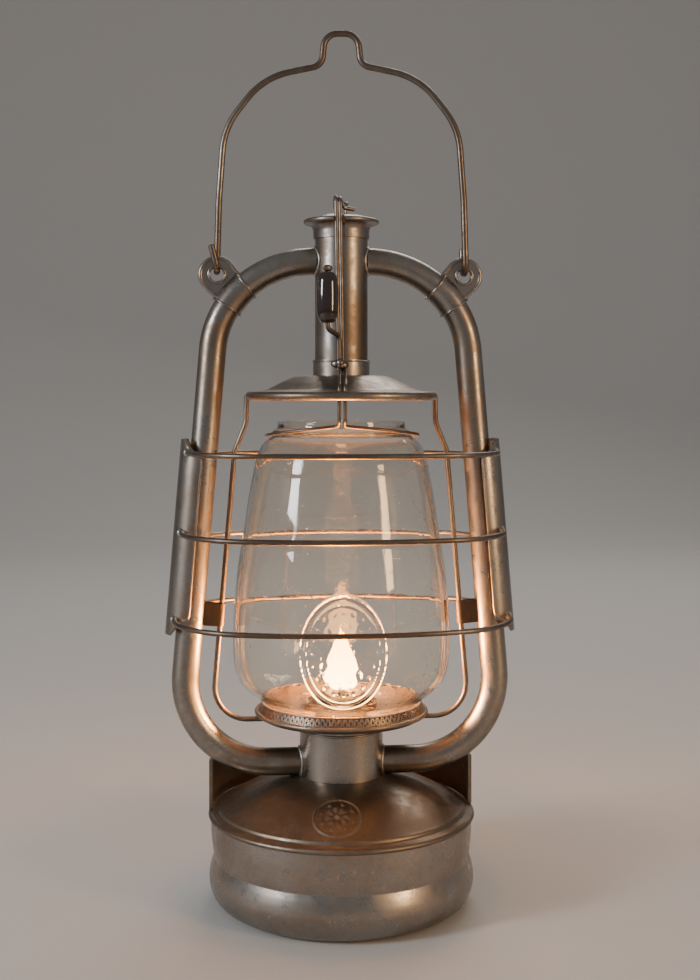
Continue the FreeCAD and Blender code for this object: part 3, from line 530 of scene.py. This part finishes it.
solder_finish = Finish("dull_solder")
grey = solder_finish.noise(300.0, 4.0, 0.6)
dull_solder = solder_finish.surface(
    Base_Color=solder_finish.mixed(solder_finish.between(grey, 0.35, 0.65), rgb(0.5, 0.48, 0.44),
                                   rgb(0.30, 0.26, 0.22)),
    Metallic=1.0, Roughness=0.3 + grey * 0.25, Normal=solder_finish.bumped(grey, 0.3, 0.0005))
for side, word in ((1, "right"), (-1, "left")):
    fit(piece("tube_upper_" + word, pipe(upright(upper_line, side), TUBE_R, 40), tube_tin),
        "frame", "tinplate", "upper_tube_" + word)
    fit(piece("tube_lower_" + word, pipe(upright(lower_line, side), TUBE_R, 40), tube_tin),
        "frame", "tinplate", "lower_tube_" + word)
    fit(piece("tube_solder_" + word,
              joined(soldered_collar(side * CHIMNEY_R, TUBE_TOP_Z, side + 5),
                     soldered_collar(side * CHAMBER_R, TUBE_FOOT_Z, side + 9)), dull_solder, 70),
        "frame", "tinplate")
coat(satin_tin, "air_chamber", "ear_left", "ear_right")
# The guide clips get a much darker copy of the tinplate. This is painted shade, because the clips are
# the same tin as the rest.
clip_shaded_tin = tinplate("clip_tinplate_painted_shade", rgb(0.11, 0.085, 0.065), rgb(0.06, 0.04, 0.03), 0.5, 0.30, 6.0)
coat(clip_shaded_tin, "guide_clip_left", "guide_clip_right")


# --- Ears -----------------------------------------------------------------------------------
# Pressed ears on the tubes' sleeves. Each has a wired edge and an eyelet that the bail swings
# in, and the sleeve's two ends are beaded.

EAR_CENTRE, EAR_R, EYELET_R, SLEEVE_R = Vector((57.4, 287.8)), 7.6, 3.8, 7.15


def torus(centre, axis, major, minor, around=64, sides=12):
    """A closed ring about an axis."""
    axis = Vector(axis).normalized()
    side = axis.orthogonal().normalized()
    other = axis.cross(side)
    verts = []
    faces = []
    for k in range(around):
        angle = 2 * math.pi * k / around
        out = side * math.cos(angle) + other * math.sin(angle)
        for j in range(sides):
            turn = 2 * math.pi * j / sides
            reach = out * (major + minor * math.cos(turn)) + axis * (minor * math.sin(turn))
            verts.append(tuple(Vector(centre) + reach))
            here, there = k * sides, (k + 1) % around * sides
            ahead = (j + 1) % sides
            faces.append((here + j, here + ahead, there + ahead, there + j))
    return verts, faces


edge_line = [ear_middle + Vector((-4.2, 6.6)), Vector((51.5, 293.0))]
edge_line += [EAR_CENTRE + Vector((math.cos(a), math.sin(a))) * EAR_R
              for a in (math.radians(132 - 9.5 * k) for k in range(20))]
edge_line += [Vector((61.7, 281.2)), ear_middle + Vector((7.4, -1.6))]
sleeve_ends = ((ear_start, -TOP_BEND), (bent(ear_start, -TOP_BEND, [(SHOULDER_R, EAR_SWEEP)])[-1],
                                        -TOP_BEND - EAR_SWEEP))
for side, word in ((1, "right"), (-1, "left")):
    trims = [pipe(upright(flowing(edge_line, 3), side), 1.05, 12)]
    for face in (-1, 1):
        middle = (side * EAR_CENTRE.x, face * 0.9, EAR_CENTRE.y)
        trims.append(torus(middle, (0, 1, 0), EYELET_R, 0.65, 40))
    for end, heading in sleeve_ends:
        turned = math.radians(heading)
        trims.append(torus((side * end.x, 0, end.y), (side * math.cos(turned), 0, math.sin(turned)),
                           SLEEVE_R, 0.5, 56))
    fit(piece("ear_trim_" + word, joined(*trims), satin_tin), "frame", "tinplate")


# --- Chimney --------------------------------------------------------------------------------
# A seamed tube of tinned steel with a flared, curled flange and a shallow lid, all soldered,
# and a wire staple on the lid.

chimney_tin = tinplate("chimney_tinplate", rgb(0.29, 0.275, 0.26), rgb(0.15, 0.10, 0.065),
                       0.40, 0.27, 3.2)
coat(chimney_tin, "chimney_tube", "chimney_flange", "chimney_lid")
wire_tin = tinplate("drawn_wire", rgb(0.24, 0.215, 0.19), rgb(0.12, 0.08, 0.055), 0.42, 0.28, 0.4)
coat(wire_tin, "lid_staple")


# --- Guard ----------------------------------------------------------------------------------
# Six bent wires, three in front and three behind, soldered through a half-round plate beside
# each side tube.

GUARD_WIRE_R, GUARD_DEPTH = 1.2, 57.7
FACE_BEND_R, CORNER_BEND_R, END_HEADING = 165.0, 40.0, 85.0
END_Y, END_OUT = 7.2, 7.4
coat(satin_tin, "guard_plate_left", "guard_plate_right")
PLATE_R, PLATE_MIDDLE_Z, PLATE_HALF, PLATE_TIP = 10.35, 167.0, 43.0, 7.0


def plate_edge(side):
    """The wired edge round a guard plate, which stands beside its tube."""
    half = [Vector((0.7, 10.5, z)) for z in (0, 12, 24, PLATE_HALF - PLATE_TIP - 1)]
    half += [Vector((2.2, 10.3, PLATE_HALF - PLATE_TIP + 0.8)), Vector((6.2, 8.6, PLATE_HALF - 3.2))]
    half += [Vector((PLATE_R * math.cos(a), PLATE_R * math.sin(a), PLATE_HALF))
             for a in (math.radians(36 - 6 * k) for k in range(7))]
    front = half + [Vector((p.x, -p.y, p.z)) for p in half[-2::-1]]
    whole = flowing(front + [Vector((p.x, p.y, -p.z)) for p in front[-2::-1]], 3)
    middle = Vector((tube_axis_x(PLATE_MIDDLE_Z), 0, PLATE_MIDDLE_Z))
    tilt = Matrix.Translation(middle) @ Matrix.Rotation(-LEAN, 4, "Y")
    return [Vector((side * v.x, v.y, v.z)) for v in (tilt @ p for p in whole)]


def guard_line(z, front):
    """A guard wire's line: nearly flat across the lantern, with two tight corners."""
    heading = math.radians(END_HEADING)
    reach = tube_axis_x(z) + END_OUT - CORNER_BEND_R * math.sin(heading)
    depth = GUARD_DEPTH - END_Y - CORNER_BEND_R * (1 - math.cos(heading))
    spread = FACE_BEND_R - CORNER_BEND_R
    face = math.asin((reach - 0.9) / spread)
    straight = (depth - spread * (1 - math.cos(face))) / math.sin(heading)
    corner = (CORNER_BEND_R, math.degrees(face) - END_HEADING)
    start = (-(reach - 0.9 + CORNER_BEND_R * math.sin(heading) + straight * math.cos(heading)), -END_Y)
    line = bent(start, -END_HEADING, [(straight, 0), corner, (FACE_BEND_R, -2 * math.degrees(face)),
                                      corner, (straight, 0)])
    return [Vector((p.x, p.y if front else -p.y, z)) for p in line]


for side, word in ((1, "right"), (-1, "left")):
    fit(piece("guard_edge_" + word, pipe(plate_edge(side), 0.6, 10), satin_tin), "frame", "tinplate")
GUARD_LEVELS = (("top", 206.3, 203.5), ("middle", 170.1, 163.5), ("bottom", 130.7, 130.6))
for level, front_z, rear_z in GUARD_LEVELS:
    for place, z in (("front", front_z), ("rear", rear_z)):
        line = guard_line(z, place == "front")
        fit(piece("guard_" + place + "_" + level, pipe(line, GUARD_WIRE_R, 20), wire_tin),
            "frame", "steel_wire", "guard_wire_" + place + "_" + level)
        ends = [solder(end + Vector((0, 1.2 * math.copysign(1, end.y), 0)), (2.0, 1.6, 1.9), z + k)
                for k, end in enumerate((line[0], line[-1]))]
        fit(piece("guard_solder_" + place + "_" + level, joined(*ends), dull_solder, 70),
            "frame", "tinplate")


# --- Globe ----------------------------------------------------------------------------------
# Blown glass, about 2 mm thick, slightly streaked and seeded. A raised oval with a plain
# flower stands on its front.

GLASS = 2.0
GLOBE_LINE = [(35.6, 85.1), (35.6, 89.6), (36.4, 91.6), (38.4, 93.4), (41.0, 95.2), (44.6, 98.2),
              (47.4, 101.8), (49.1, 106.4), (50.0, 112.0), (50.3, 119.0), (50.1, 128.0),
              (49.4, 139.0), (48.0, 153.0), (45.3, 169.5), (42.8, 186.0), (40.2, 199.5),
              (38.9, 204.8), (36.8, 209.2), (33.6, 212.2), (32.3, 213.4), (32.35, 215.0),
              (31.0, 216.3), (29.7, 217.4), (29.4, 220.15)]
OVAL_X, OVAL_Z, OVAL_HALF_WIDTH, OVAL_HALF_HEIGHT = -2.8, 121.5, 19.0, 25.5


def globe_relief(x, z):
    """Height of the pressed oval above the glass, at a place on the front."""
    u, v = (x - OVAL_X) / OVAL_HALF_WIDTH, (z - OVAL_Z) / OVAL_HALF_HEIGHT
    radius = math.hypot(u, v)
    angle = math.atan2(v, u)
    petal = 0.5 + 0.5 * math.cos(16 * angle)
    border = ridge(radius, 0.95, 0.045) + 0.5 * ridge(radius, 0.82, 0.035)
    petals = ridge(radius, 0.50, 0.12) * petal
    beads = ridge(radius, 0.70, 0.05) * max(0.0, math.cos(20 * angle)) ** 2
    return 0.75 * border + 0.16 * petals + 0.4 * beads


def blown_globe():
    """The globe's glass, with finer mesh where the oval stands."""
    outer = flowing(GLOBE_LINE, 4)
    fine = []
    for low, high in zip(outer, outer[1:]):
        near = abs(low.y - OVAL_Z) < OVAL_HALF_HEIGHT + 3
        count = max(1, math.ceil((high - low).length / (0.55 if near else 2.4)))
        fine += [low.lerp(high, k / count) for k in range(count)]
    fine.append(outer[-1])
    whole = sheet(fine, GLASS)
    inner = whole[len(fine):]
    inner = inner[::3] if (len(inner) - 1) % 3 == 0 else inner[::3] + inner[-1:]
    section = [(p, True) for p in fine] + [(p, False) for p in inner]
    angles = []
    angle = -math.pi
    while angle < math.pi - 0.001:
        angles.append(angle)
        angle += 0.0105 if abs(angle) < 0.46 else 0.045
    verts = []
    faces = []
    for step, angle in enumerate(angles):
        here, there = step * len(section), (step + 1) % len(angles) * len(section)
        for k, (point, outside) in enumerate(section):
            x = point.x * math.sin(angle)
            bulge = globe_relief(x, point.y) if outside and abs(angle) < 0.5 else 0.0
            radius = point.x + bulge
            verts.append((radius * math.sin(angle), -radius * math.cos(angle), point.y))
            ahead = (k + 1) % len(section)
            faces.append((here + k, here + ahead, there + ahead, there + k))
    return verts, faces


glass = Finish("blown_glass_painted_glow")
ripple = glass.noise(60.0, 3.0, 0.5, (1.0, 1.0, 0.18))
seeds = glass.between(glass.noise(420.0, 1.0, 0.4), 0.70, 0.78)
dust = glass.between(glass.noise(40.0, 6.0, 0.7), 0.45, 0.75)
# The glass is clear. Its warm base colour is painted glow: a tint that stands in for the flame's warm
# light in the glass.
globe = piece("globe_glass", blown_globe(), glass.surface(
    Base_Color=rgb(0.985, 0.945, 0.885), Roughness=0.01 + dust * 0.05, Transmission_Weight=1.0, IOR=1.5,
    Normal=glass.bumped(ripple + seeds * 0.6, 0.16, 0.0014)), 30)
globe.visible_shadow = False
fit(globe, "carriage", "clear_glass", "globe")


# --- Gallery --------------------------------------------------------------------------------
# The plate under the globe: a floor with a rolled rim and a band pierced with rows of holes,
# of tinned steel. It hangs from the two guide wires.

GALLERY_R, GALLERY_RIM_Z, BAND_TOP_R, BAND_TOP_Z = 39.0, 86.6, 36.9, 91.0
FLOOR_Z, FLOOR_HOLE_R = 84.2, 16.3
HOLES_ROUND, HOLE_ROWS, HOLE_R = 96, 3, 0.5


def pierced_tile(width, height, thick, hole, turns=12):
    """One square of sheet with a round hole, standing in the XZ plane, as a mesh object."""
    shape = bmesh.new()
    rims = []
    for y in (0.0, thick):
        ring, square = [], []
        for k in range(turns):
            angle = 2 * math.pi * (k + 0.5) / turns
            cx, cz = math.cos(angle), math.sin(angle)
            ring.append(shape.verts.new((hole * cx * MM, y * MM, hole * cz * MM)))
            reach = 1 / max(abs(cx) / (width / 2), abs(cz) / (height / 2))
            square.append(shape.verts.new((cx * reach * MM, y * MM, cz * reach * MM)))
        rims.append((ring, square))
    (front, outer), (rear, far) = rims
    for k in range(turns):
        ahead = (k + 1) % turns
        shape.faces.new((front[k], outer[k], outer[ahead], front[ahead]))
        shape.faces.new((rear[ahead], far[ahead], far[k], rear[k]))
        shape.faces.new((front[ahead], rear[ahead], rear[k], front[k]))
        shape.faces.new((outer[k], far[k], far[ahead], outer[ahead]))
    mesh = bpy.data.meshes.new("pierced_tile")
    shape.to_mesh(mesh)
    shape.free()
    return bpy.data.objects.new("pierced_tile", mesh)


def row_of(item, count, radius, height, lean, offset, material):
    """Geometry Nodes that set copies of an item round the axis, as one plain mesh."""
    tree = bpy.data.node_groups.new("ring_of_copies", "GeometryNodeTree")
    tree.interface.new_socket("Geometry", in_out="OUTPUT", socket_type="NodeSocketGeometry")
    sizes = {}
    for label, kind in (("Item", "NodeSocketObject"), ("Count", "NodeSocketInt"),
                        ("Radius", "NodeSocketFloat"), ("Height", "NodeSocketFloat"),
                        ("Lean", "NodeSocketFloat"), ("Offset", "NodeSocketFloat"),
                        ("Finish", "NodeSocketMaterial")):
        sizes[label] = tree.interface.new_socket(label, in_out="INPUT", socket_type=kind).identifier
    given = tree.nodes.new("NodeGroupInput")
    end = tree.nodes.new("NodeGroupOutput")

    def add(kind, **settings):
        node = tree.nodes.new(kind)
        for key, setting in settings.items():
            setattr(node, key, setting)
        return node

    line = add("GeometryNodeMeshLine")
    tree.links.new(given.outputs["Count"], line.inputs["Count"])
    line.inputs["Offset"].default_value = (0, 0, 0)
    index = add("GeometryNodeInputIndex")
    shifted = add("ShaderNodeMath", operation="ADD")
    tree.links.new(index.outputs[0], shifted.inputs[0])
    tree.links.new(given.outputs["Offset"], shifted.inputs[1])
    share = add("ShaderNodeMath", operation="DIVIDE")
    tree.links.new(shifted.outputs[0], share.inputs[0])
    tree.links.new(given.outputs["Count"], share.inputs[1])
    angle = add("ShaderNodeMath", operation="MULTIPLY")
    tree.links.new(share.outputs[0], angle.inputs[0])
    angle.inputs[1].default_value = 2 * math.pi
    spot = add("ShaderNodeCombineXYZ")
    for operation, axis in (("COSINE", "X"), ("SINE", "Y")):
        swing = add("ShaderNodeMath", operation=operation)
        tree.links.new(angle.outputs[0], swing.inputs[0])
        reach = add("ShaderNodeMath", operation="MULTIPLY")
        tree.links.new(swing.outputs[0], reach.inputs[0])
        tree.links.new(given.outputs["Radius"], reach.inputs[1])
        tree.links.new(reach.outputs[0], spot.inputs[axis])
    tree.links.new(given.outputs["Height"], spot.inputs["Z"])
    placed = add("GeometryNodeSetPosition")
    tree.links.new(line.outputs[0], placed.inputs["Geometry"])
    tree.links.new(spot.outputs[0], placed.inputs["Position"])
    quarter = add("ShaderNodeMath", operation="ADD")
    tree.links.new(angle.outputs[0], quarter.inputs[0])
    quarter.inputs[1].default_value = math.pi / 2
    turn = add("ShaderNodeCombineXYZ")
    tree.links.new(given.outputs["Lean"], turn.inputs["X"])
    tree.links.new(quarter.outputs[0], turn.inputs["Z"])
    source = add("GeometryNodeObjectInfo")
    tree.links.new(given.outputs["Item"], source.inputs["Object"])
    copies = add("GeometryNodeInstanceOnPoints")
    tree.links.new(placed.outputs[0], copies.inputs["Points"])
    tree.links.new(source.outputs["Geometry"], copies.inputs["Instance"])
    tree.links.new(turn.outputs[0], copies.inputs["Rotation"])
    real = add("GeometryNodeRealizeInstances")
    tree.links.new(copies.outputs[0], real.inputs[0])
    painted = add("GeometryNodeSetMaterial")
    tree.links.new(real.outputs[0], painted.inputs["Geometry"])
    tree.links.new(given.outputs["Finish"], painted.inputs["Material"])
    tree.links.new(painted.outputs[0], end.inputs[0])

    carrier = bpy.data.objects.new("ring_of_copies", bpy.data.meshes.new("carrier"))
    bpy.context.collection.objects.link(carrier)
    modifier = carrier.modifiers.new("copies", "NODES")
    modifier.node_group = tree
    for label, size in (("Item", item), ("Count", count), ("Radius", radius * MM),
                        ("Height", height * MM), ("Lean", lean), ("Offset", offset),
                        ("Finish", material)):
        modifier[sizes[label]] = size
    bpy.context.view_layer.update()
    ready = carrier.evaluated_get(bpy.context.evaluated_depsgraph_get())
    mesh = bpy.data.meshes.new_from_object(ready)
    bpy.data.objects.remove(carrier)
    return mesh


gallery_tin = tinplate("gallery_tinplate", rgb(0.31, 0.28, 0.25), rgb(0.16, 0.105, 0.065),
                       0.40, 0.26, 4.4)
band_lean = math.atan2(GALLERY_R - 0.3 - BAND_TOP_R, BAND_TOP_Z - GALLERY_RIM_Z)
row_height = (BAND_TOP_Z - GALLERY_RIM_Z) / math.cos(band_lean) / HOLE_ROWS
band = bmesh.new()
for row in range(HOLE_ROWS):
    share = (row + 0.5) / HOLE_ROWS
    radius = GALLERY_R - 0.3 + (BAND_TOP_R - GALLERY_R + 0.3) * share
    wide = 2 * (radius + 0.3) * math.tan(math.pi / HOLES_ROUND)
    tile = pierced_tile(wide, row_height, 0.5, HOLE_R)
    bpy.context.collection.objects.link(tile)
    row_mesh = row_of(tile, HOLES_ROUND, radius, GALLERY_RIM_Z + (BAND_TOP_Z - GALLERY_RIM_Z) * share,
                      -band_lean, 0.5 * (row % 2), gallery_tin)
    band.from_mesh(row_mesh)
    bpy.data.objects.remove(tile)
band_mesh = bpy.data.meshes.new("gallery_band")
band.to_mesh(band_mesh)
band.free()
band_mesh.materials.append(gallery_tin)
gallery_band = bpy.data.objects.new("gallery_band", band_mesh)
bpy.context.collection.objects.link(gallery_band)
fit(gallery_band, "carriage", "tinplate")

floor_line = [(FLOOR_HOLE_R, FLOOR_Z + 4.4), (FLOOR_HOLE_R, FLOOR_Z + 0.8)]
floor_line += arc((FLOOR_HOLE_R + 0.8, FLOOR_Z + 0.8), 0.8, 180, 270, 5)
floor_line += [(37.0, FLOOR_Z), (37.8, FLOOR_Z + 0.5), (38.3, GALLERY_RIM_Z - 0.6)]
gallery_rim = lathe(arc((GALLERY_R, GALLERY_RIM_Z - 0.1), 1.1, 0, 345, 23))
gallery_lip = lathe(arc((BAND_TOP_R - 0.2, BAND_TOP_Z), 0.5, 0, 330, 11))
seat = lathe([(36.0, 85.2), (36.3, 85.2), (36.3, 90.5), (36.0, 90.5)])
gallery_shape = joined(lathe(sheet(floor_line)), gallery_rim, gallery_lip, seat)
fit(piece("gallery_plate", gallery_shape, gallery_tin), "carriage", "tinplate", "gallery")


# --- Hood -----------------------------------------------------------------------------------
# A spun cap over the globe with a sleeve that slides on the chimney. Its edge is rolled round
# the upper ends of the two guide wires.

HOOD_BEAD_R, HOOD_BEAD_Z, HOOD_BEAD = 42.4, 231.9, 2.0
hood_tin = tinplate("hood_tinplate", rgb(0.31, 0.285, 0.26), rgb(0.16, 0.11, 0.07), 0.40, 0.27, 5.1)
hood_line = flowing([(12.7, 241.3), (16.0, 241.4), (19.6, 241.2), (22.6, 240.5), (28.0, 238.2),
                     (32.5, 235.9), (35.2, 234.7), (38.5, 234.2), (41.2, 233.9)], 6)
hood_line += arc((HOOD_BEAD_R, HOOD_BEAD_Z), HOOD_BEAD, 100, -150, 18)
under_line = [p + Vector((-0.2, -SHEET)) for p in hood_line[:48][::-1]]
fit(piece("hood_cap", lathe([tuple(p) for p in hood_line + under_line]), hood_tin),
    "carriage", "tinplate", "hood")
coat(satin_tin, "hood_collar")


# --- Guide wires, springs and lift rod ------------------------------------------------------
# Steel wire: the guides tie hood to gallery, the springs press the globe down, and the rod
# with its turned grip lifts all of it. The rod's hook rests on the chimney's lid.

GUIDE_LINE = [(43.8, 0, 231.9), (44.0, 0, 219.5), (49.3, 0, 206.5), (59.7, 0, 83.0), (30.0, 0, 83.0)]
SPRING_REACH, SPRING_OUT, PITCH = 34.6, 38.6, 1.3
for side, word in ((1, "right"), (-1, "left")):
    guide = rounded([Vector((side * x, y, z)) for x, y, z in GUIDE_LINE], [12.0, 10.0, 15.0])
    fit(piece("guide_" + word, pipe(guide, 1.2), wire_tin), "carriage", "steel_wire",
        "guide_wire_" + word)
    front_x, rear_x = side * PITCH - 2.6, side * PITCH - 1.0
    spring = rounded([(side * SPRING_REACH, 4.0, 213.4), (side * SPRING_REACH, -SPRING_REACH, 215.4),
                      (front_x, -SPRING_REACH, 218.6), (front_x, -SPRING_OUT, 221.0),
                      (front_x, -SPRING_OUT, 236.2), (rear_x, -21.0, 243.4), (rear_x, -15.9, 243.6)],
                     [28.0, 2.0, 1.6, 3.0, 4.0])
    fit(piece("spring_" + word, pipe(spring, 0.8, 14), wire_tin), "carriage", "steel_wire",
        "globe_spring_" + word)

ROD_Y, ROD_R, ROD_PITCH, ROD_TOP_Z = -14.6, 0.95, 1.8, 322.4
left_strand = rounded([(-2.3, ROD_Y, 243.5), (-3.5, ROD_Y, ROD_TOP_Z), (-3.3, -6.4, ROD_TOP_Z),
                       (-3.1, -5.0, 318.1)], [3.0, 2.0])
right_strand = rounded([(-2.3 + ROD_PITCH, ROD_Y, 243.5), (-3.5 + ROD_PITCH, ROD_Y, ROD_TOP_Z - 0.6),
                        (-0.9, -6.2, ROD_TOP_Z - 0.6), (1.2, -4.6, 318.4), (5.6, -3.4, 318.0)],
                       [3.0, 2.0, 1.6])
fit(piece("rod", joined(pipe(left_strand, ROD_R, 16), pipe(right_strand, ROD_R, 16)), wire_tin),
    "carriage", "steel_wire", "lift_rod")
GRIP = Vector((-8.1, -25.0, 275.8))
arm = rounded([(GRIP.x, GRIP.y, 287.4), (GRIP.x, GRIP.y, 261.8), (-2.4, -17.3, 259.0),
               (-2.4, -17.3, 245.6)], [3.0, 3.0])
peened = solder((GRIP.x, GRIP.y, 288.6), (2.0, 2.0, 1.8), 3)
fit(piece("arm", joined(pipe(arm, 1.1), peened), wire_tin), "carriage", "steel_wire", "grip_arm")
knot = [solder(place, (2.1, 1.7, 1.9), k) for k, place in enumerate(
    ((-3.6, -17.4, 246.4), (-0.4, -17.0, 245.9), (-1.9, -18.0, 247.0), (-1.6, -17.6, 245.6)))]
fit(piece("binding", joined(*knot), satin_tin, 70), "carriage", "tinplate", "rod_binding")

lacquer = Finish("dark_lacquer")
wear = lacquer.between(lacquer.noise(230.0, 5.0, 0.7), 0.60, 0.72)
lines = lacquer.noise(300.0, 4.0, 0.5, (1.0, 1.0, 0.1))
dark_lacquer = lacquer.surface(
    Base_Color=lacquer.mixed(wear, rgb(0.020, 0.011, 0.008), rgb(0.13, 0.055, 0.025)),
    Roughness=0.10 + wear * 0.35, Coat_Weight=0.7 - wear * 0.5,
    Normal=lacquer.bumped(lines, 0.12, 0.0004))
GRIP_R, GRIP_HALF = 5.0, 11.3
lower_grip = [(1.15, -GRIP_HALF), (2.3, -GRIP_HALF), (3.7, -GRIP_HALF + 1.1),
              (4.6, -GRIP_HALF + 3.4), (GRIP_R - 0.1, -4.5)]
grip_line = flowing(lower_grip + [(GRIP_R, 0.0)] + [(r, -z) for r, z in lower_grip[::-1]], 5)
fit(piece("grip_bead", moved(lathe([tuple(p) for p in grip_line], 40), Matrix.Translation(GRIP)),
          dark_lacquer), "carriage", "dark_grip", "grip")


# --- Bail -----------------------------------------------------------------------------------
# The carrying wire, of drawn steel, bent to a hump at the top. It has an open hook at each
# end, which turns in the ear.

BAIL_R, HOOK_R, HOOK_SPREAD, EAR_X, PIVOT_Z = 1.5, 4.7, 2.5, 57.4, 293.65
RIGHT_BAIL = [(57.4, PIVOT_Z), (56.6, 322.0), (54.2, 356.0), (36.0, 379.6), (9.0, 385.2), (7.6, 399.9)]
BAIL_RADII = [90.0, 34.0, 34.0, 5.5, 6.6]
bail_points = RIGHT_BAIL + [(-x, z) for x, z in RIGHT_BAIL[::-1]]
bail_line = rounded([(x, -HOOK_R * x / EAR_X, z) for x, z in bail_points],
                    BAIL_RADII + BAIL_RADII[::-1], 5.0)


def hook(side):
    """The open hook at an end of the bail, from its short end to the leg."""
    turn = [Vector((side * EAR_X, side * HOOK_R * math.cos(a), PIVOT_Z - HOOK_R * math.sin(a)))
            for a in (math.pi * k / 16 for k in range(17))]
    spread = Vector((-HOOK_SPREAD if side < 0 else 0.0, 0, 0))
    turn = [point + spread * max(0.0, 0.3 - 0.1 * k) for k, point in enumerate(turn)]
    return [turn[0] + spread * 0.7 + Vector((0, 0, 7.0))] + turn


whole_bail = hook(1) + bail_line[1:-1] + hook(-1)[::-1]
fit(piece("bail_wire", pipe(whole_bail, BAIL_R, 24), wire_tin), "bail", "steel_wire", "bail")
coat(wire_tin, "wick_shaft")


# --- Flame ----------------------------------------------------------------------------------
# The lantern is lit: a small flame on the wick and its warm light. The flame is fixed to no
# body and isn't a part of the lantern.

flame_line = flowing([(0.0, 95.5), (4.2, 96.6), (7.2, 100.0), (8.0, 104.5), (6.6, 110.0), (3.8, 116.5),
                      (1.4, 122.0), (0.0, 126.0)], 5)
flame_outline = [(max(p.x, 0.0), p.y) for p in flame_line]
flame_shape = moved(lathe(flame_outline, 32), Matrix.Diagonal((1.0, 1.15, 1.0, 1.0)))
hot = Finish("flame")
core = hot.between(hot.height(), 0.098, 0.122)
flame = piece("flame", flame_shape, hot.surface(
    Base_Color=rgb(0, 0, 0), Emission_Color=hot.mixed(core, rgb(1.0, 0.66, 0.26), rgb(1.0, 0.36, 0.07)),
    Emission_Strength=26.0), 80)
flame.visible_shadow = False
GLOW_POWER, GLOW_R, GLOW_HEIGHT = 2.1, 0.007, 0.108
glow = bpy.data.lights.new("flame_glow", "POINT")
glow.energy = GLOW_POWER
glow.color = (1.0, 0.40, 0.10)
glow.shadow_soft_size = GLOW_R
glow_place = bpy.data.objects.new("flame_glow", glow)
bpy.context.collection.objects.link(glow_place)
glow_place.location = (0, 0, GLOW_HEIGHT)


# --- Where it stands ------------------------------------------------------------------------
# A pale floor that sweeps up into a backdrop, three soft panels of light, and a camera a
# little above the guard.

FLOOR_REACH, SWEEP_START, SWEEP_R, BACKDROP_TOP = 6.0, 1.4, 1.2, 5.0
turns = [math.radians(9 * k) for k in range(1, 10)]
sweep = [(-FLOOR_REACH, 0.0), (SWEEP_START, 0.0)]
sweep += [(SWEEP_START + SWEEP_R * math.sin(a), SWEEP_R - SWEEP_R * math.cos(a)) for a in turns]
sweep.append((SWEEP_START + SWEEP_R, BACKDROP_TOP))
ground = bpy.data.meshes.new("floor")
ground.from_pydata([(x, y, z) for y, z in sweep for x in (-FLOOR_REACH, FLOOR_REACH)], [],
                   [(2 * k, 2 * k + 1, 2 * k + 3, 2 * k + 2) for k in range(len(sweep) - 1)])
ground.shade_smooth()
floor = bpy.data.objects.new("floor", ground)
bpy.context.collection.objects.link(floor)
pale = Finish("pale_floor")
floor.data.materials.append(pale.surface(Base_Color=rgb(0.55, 0.54, 0.525), Roughness=0.7))

world = bpy.data.worlds.new("studio")
bpy.context.scene.world = world
world.use_nodes = True
world.node_tree.nodes["Background"].inputs[0].default_value = (0.75, 0.76, 0.78, 1)
world.node_tree.nodes["Background"].inputs[1].default_value = 0.34


def softbox(name, place, aim, size, power, colour):
    """A soft panel of light that faces a point."""
    lamp = bpy.data.lights.new(name, "AREA")
    lamp.shape = "RECTANGLE"
    lamp.size, lamp.size_y = size
    lamp.energy = power
    lamp.color = colour
    panel = bpy.data.objects.new(name, lamp)
    bpy.context.collection.objects.link(panel)
    panel.location = place
    panel.rotation_euler = (Vector(aim) - Vector(place)).to_track_quat("-Z", "Y").to_euler()


softbox("key_left", (-1.25, -0.57, 0.62), (0, 0, 0.18), (0.30, 0.46), 12.0, (0.94, 0.97, 1.0))
softbox("warm_right", (1.0, -0.86, 0.42), (0, 0, 0.16), (0.20, 0.46), 7.0, (1.0, 0.62, 0.30))
softbox("rim_back", (0.4, 1.2, 1.3), (0, 0, 0.2), (1.0, 0.6), 9.0, (1.0, 0.93, 0.86))

YAW = math.radians(4.5)
DISTANCE, EYE_HEIGHT = 0.626, 0.2324
LENS, SHIFT = 49.6, (0.0089, -0.097)
camera_data = bpy.data.cameras.new("camera")
camera_data.sensor_fit = "VERTICAL"
camera_data.sensor_height = 36.0
camera_data.lens = LENS
camera_data.shift_x, camera_data.shift_y = SHIFT
camera_data.clip_start = 0.01
camera = bpy.data.objects.new("camera", camera_data)
bpy.context.collection.objects.link(camera)
camera.location = (-DISTANCE * math.sin(YAW), -DISTANCE * math.cos(YAW), EYE_HEIGHT)
camera.rotation_euler = (math.radians(90), 0, -YAW)
bpy.context.scene.camera = camera
